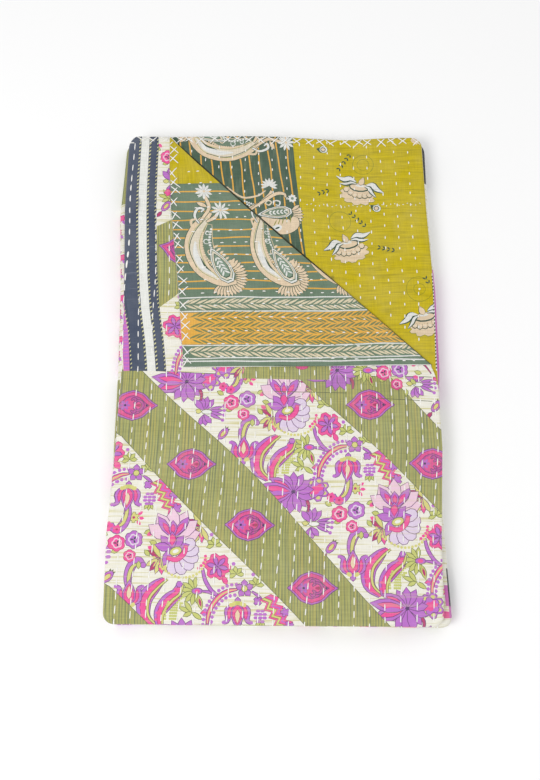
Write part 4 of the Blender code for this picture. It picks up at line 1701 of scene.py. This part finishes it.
def cotton(name):
    """Printed cotton: the print, with slubs, uneven threads, fading, a woven surface and quilting dimples."""
    slub, warp, weft, creasing = FINISHES[name]
    material, tree, shader = new_material(f"{name} cotton")
    printed = node(tree, "ShaderNodeAttribute")
    printed.attribute_name = "print"
    place = node(tree, "ShaderNodeAttribute")
    place.attribute_name = "flat"
    flat, colour = place.outputs["Vector"], printed.outputs["Color"]
    ground = math_node(tree, "MULTIPLY_ADD", printed.outputs["Alpha"], 0.75, 0.25)

    per_u, per_v, threshold, share, slub_colour = slub
    slubs = band_pass(tree, threads_across(tree, flat, per_u, per_v), threshold, threshold + 0.12)
    if name == "olive":
        slubs = pinstripes(tree, flat, slubs)
        bright = band_pass(tree, threads_across(tree, flat, 520, 7), 0.48, 0.62)
        bright = product(tree, product(tree, bright, ground), 0.55)
        colour = mixed(tree, bright, colour, (*srgb("c9b866"), 1.0))
    slubs = product(tree, product(tree, slubs, ground), share)
    colour = mixed(tree, slubs, colour, (*srgb(slub_colour), 1.0))
    for per_u, per_v, share in (warp, weft):
        lines = band_pass(tree, threads_across(tree, flat, per_u, per_v), 0.35, 0.65)
        shade = math_node(tree, "SUBTRACT", 1.0, product(tree, lines, share))
        grey = node(tree, "ShaderNodeCombineColor", Red=shade, Green=shade, Blue=shade).outputs[0]
        colour = mixed(tree, 1.0, colour, grey, "MULTIPLY")
    fading = band_pass(tree, threads_across(tree, flat, 24, 24, 3.0), 0.35, 0.75)
    colour = mixed(tree, product(tree, fading, 0.06), colour, (0.86, 0.86, 0.80, 1.0))

    weave = math_node(tree, "ADD", threads_across(tree, flat, 1400, 180), threads_across(tree, flat, 180, 1400))
    creases = threads_across(tree, flat, 42, 210, 3.0)
    height = math_node(tree, "ADD", product(tree, weave, 0.10), product(tree, creases, 0.55 * creasing))
    height = math_node(tree, "ADD", height, product(tree, puckers(tree, flat), 0.30))
    bump = node(tree, "ShaderNodeBump", Height=height, Strength=0.55, Distance=0.0012).outputs[0]
    rough = node(tree, "ShaderNodeMapRange", Value=creases, To_Min=0.74, To_Max=0.92).outputs[0]
    connect(tree, shader, Base_Color=colour, Normal=bump, Roughness=rough, Specular_IOR_Level=0.28)
    connect(tree, shader, Sheen_Weight=0.12, Sheen_Roughness=0.5)
    return material


def thread_material():
    """White cotton thread with a fine twist."""
    material, tree, shader = new_material("white cotton thread")
    place = node(tree, "ShaderNodeTexCoord").outputs["Object"]
    scaled = node(tree, "ShaderNodeVectorMath", "MULTIPLY", in0=place, in1=(2600.0, 900.0, 900.0)).outputs[0]
    twist = node(tree, "ShaderNodeTexNoise", Vector=scaled, Scale=1.0, Detail=2.0).outputs["Fac"]
    colour = mixed(tree, band_pass(tree, twist, 0.35, 0.65), (*srgb("e9e7df"), 1.0), (*srgb("fdfcfa"), 1.0))
    bump = node(tree, "ShaderNodeBump", Height=twist, Strength=0.5, Distance=0.0004).outputs[0]
    connect(tree, shader, Base_Color=colour, Normal=bump, Roughness=0.7, Sheen_Weight=0.2)
    return material


def floor_material():
    material, tree, shader = new_material("pale floor")
    place = node(tree, "ShaderNodeTexCoord").outputs["Object"]
    grain = node(tree, "ShaderNodeTexNoise", Vector=place, Scale=3.0, Detail=2.0).outputs["Fac"]
    colour = mixed(tree, grain, (0.97, 0.97, 0.97, 1.0), (0.98, 0.98, 0.98, 1.0))
    connect(tree, shader, Base_Color=colour, Roughness=0.9, Specular_IOR_Level=0.0)
    return material


def placed_object(name, mesh, shift):
    """An object whose mesh is moved by shift."""
    mesh.transform(Matrix.Translation(shift))
    made = bpy.data.objects.new(name, mesh)
    bpy.context.scene.collection.objects.link(made)
    return made


CAMERA_TARGET = Vector((-0.0058, -0.030, 0.0277))
CAMERA_ELEVATION = math.radians(73.88)
CAMERA_DISTANCE = 1.1288
CAMERA_ROLL = math.radians(0.558)
FOCAL_PIXELS = 1004.2
IMAGE_HEIGHT = 780
SENSOR = 36.0


def make_camera(shift):
    """The photograph's view: nearly from above, from the packet's near side."""
    camera = bpy.data.objects.new("camera", bpy.data.cameras.new("camera"))
    bpy.context.scene.collection.objects.link(camera)
    ahead = Vector((0, math.cos(CAMERA_ELEVATION), -math.sin(CAMERA_ELEVATION)))
    level, upright = Vector((1, 0, 0)), Vector((0, math.sin(CAMERA_ELEVATION), math.cos(CAMERA_ELEVATION)))
    right = math.cos(CAMERA_ROLL) * level + math.sin(CAMERA_ROLL) * upright
    up = -math.sin(CAMERA_ROLL) * level + math.cos(CAMERA_ROLL) * upright
    turned = Matrix((right, up, -ahead)).transposed().to_4x4()
    camera.matrix_world = Matrix.Translation(CAMERA_TARGET + shift - ahead * CAMERA_DISTANCE) @ turned
    camera.data.sensor_width = SENSOR
    camera.data.lens = FOCAL_PIXELS * SENSOR / IMAGE_HEIGHT
    bpy.context.scene.camera = camera


def area_light(name, place, target, size, power):
    data = bpy.data.lights.new(name, "AREA")
    data.size, data.energy = size, power
    lamp = bpy.data.objects.new(name, data)
    lamp.location = place
    lamp.rotation_euler = (Vector(target) - Vector(place)).to_track_quat("-Z", "Y").to_euler()
    bpy.context.scene.collection.objects.link(lamp)


def make_studio():
    world = bpy.data.worlds.new("studio")
    world.use_nodes = True
    background = world.node_tree.nodes["Background"].inputs
    background["Color"].default_value = (1.0, 1.0, 1.0, 1.0)
    background["Strength"].default_value = 0.64
    bpy.context.scene.world = world
    area_light("key", (-0.95, -0.85, 1.7), (0, 0, 0), 0.9, 19.0)
    area_light("fill", (1.1, 0.9, 1.9), (0, 0, 0), 2.0, 8.0)
    bpy.context.scene.view_settings.view_transform = "Standard"
    mesh = bpy.data.meshes.new("floor")
    reach = 3.0
    corners = [(-reach, -reach, 0), (reach, -reach, 0), (reach, reach, 0), (-reach, reach, 0)]
    mesh.from_pydata(corners, [], [(0, 1, 2, 3)])
    floor = bpy.data.objects.new("floor", mesh)
    floor.data.materials.append(floor_material())
    bpy.context.scene.collection.objects.link(floor)


# Legs of the sheet that show: (across, along) numbers for each face
SHOWN_A = [(0, 0), (1, 0), (5, 0), (0, 1)]
SHOWN_B = [(0, 0), (0, 6)]


def main():
    cloth_mesh, points = quilt_mesh(
        laid_out(face_a_shapes(), SHOWN_A, seen_on_a), laid_out(face_b_shapes(), SHOWN_B, seen_on_b)
    )
    low, high = points.min(axis=0), points.max(axis=0)
    box_low, box_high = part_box("quilt")
    middle = (box_low + box_high) / 2
    shift = Vector((
        middle[0] - (low[0] + high[0]) / 2,
        middle[1] - (low[1] + high[1]) / 2,
        box_low[2] - low[2],
    ))
    for name in CLOTHS:
        cloth_mesh.materials.append(cotton(name))
    cloth = placed_object("quilt_cloth", cloth_mesh, shift)
    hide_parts("quilt")
    white = thread_material()
    pieces = [cloth]
    for name, paths in (("running_stitches", running_stitches()), ("edge_stitches", crossed_stitches())):
        mesh = thread_mesh(name, paths)
        mesh.materials.append(white)
        pieces.append(placed_object(name, mesh, shift))
    for piece in pieces:
        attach(piece, "root")
    make_camera(shift)
    make_studio()


main()
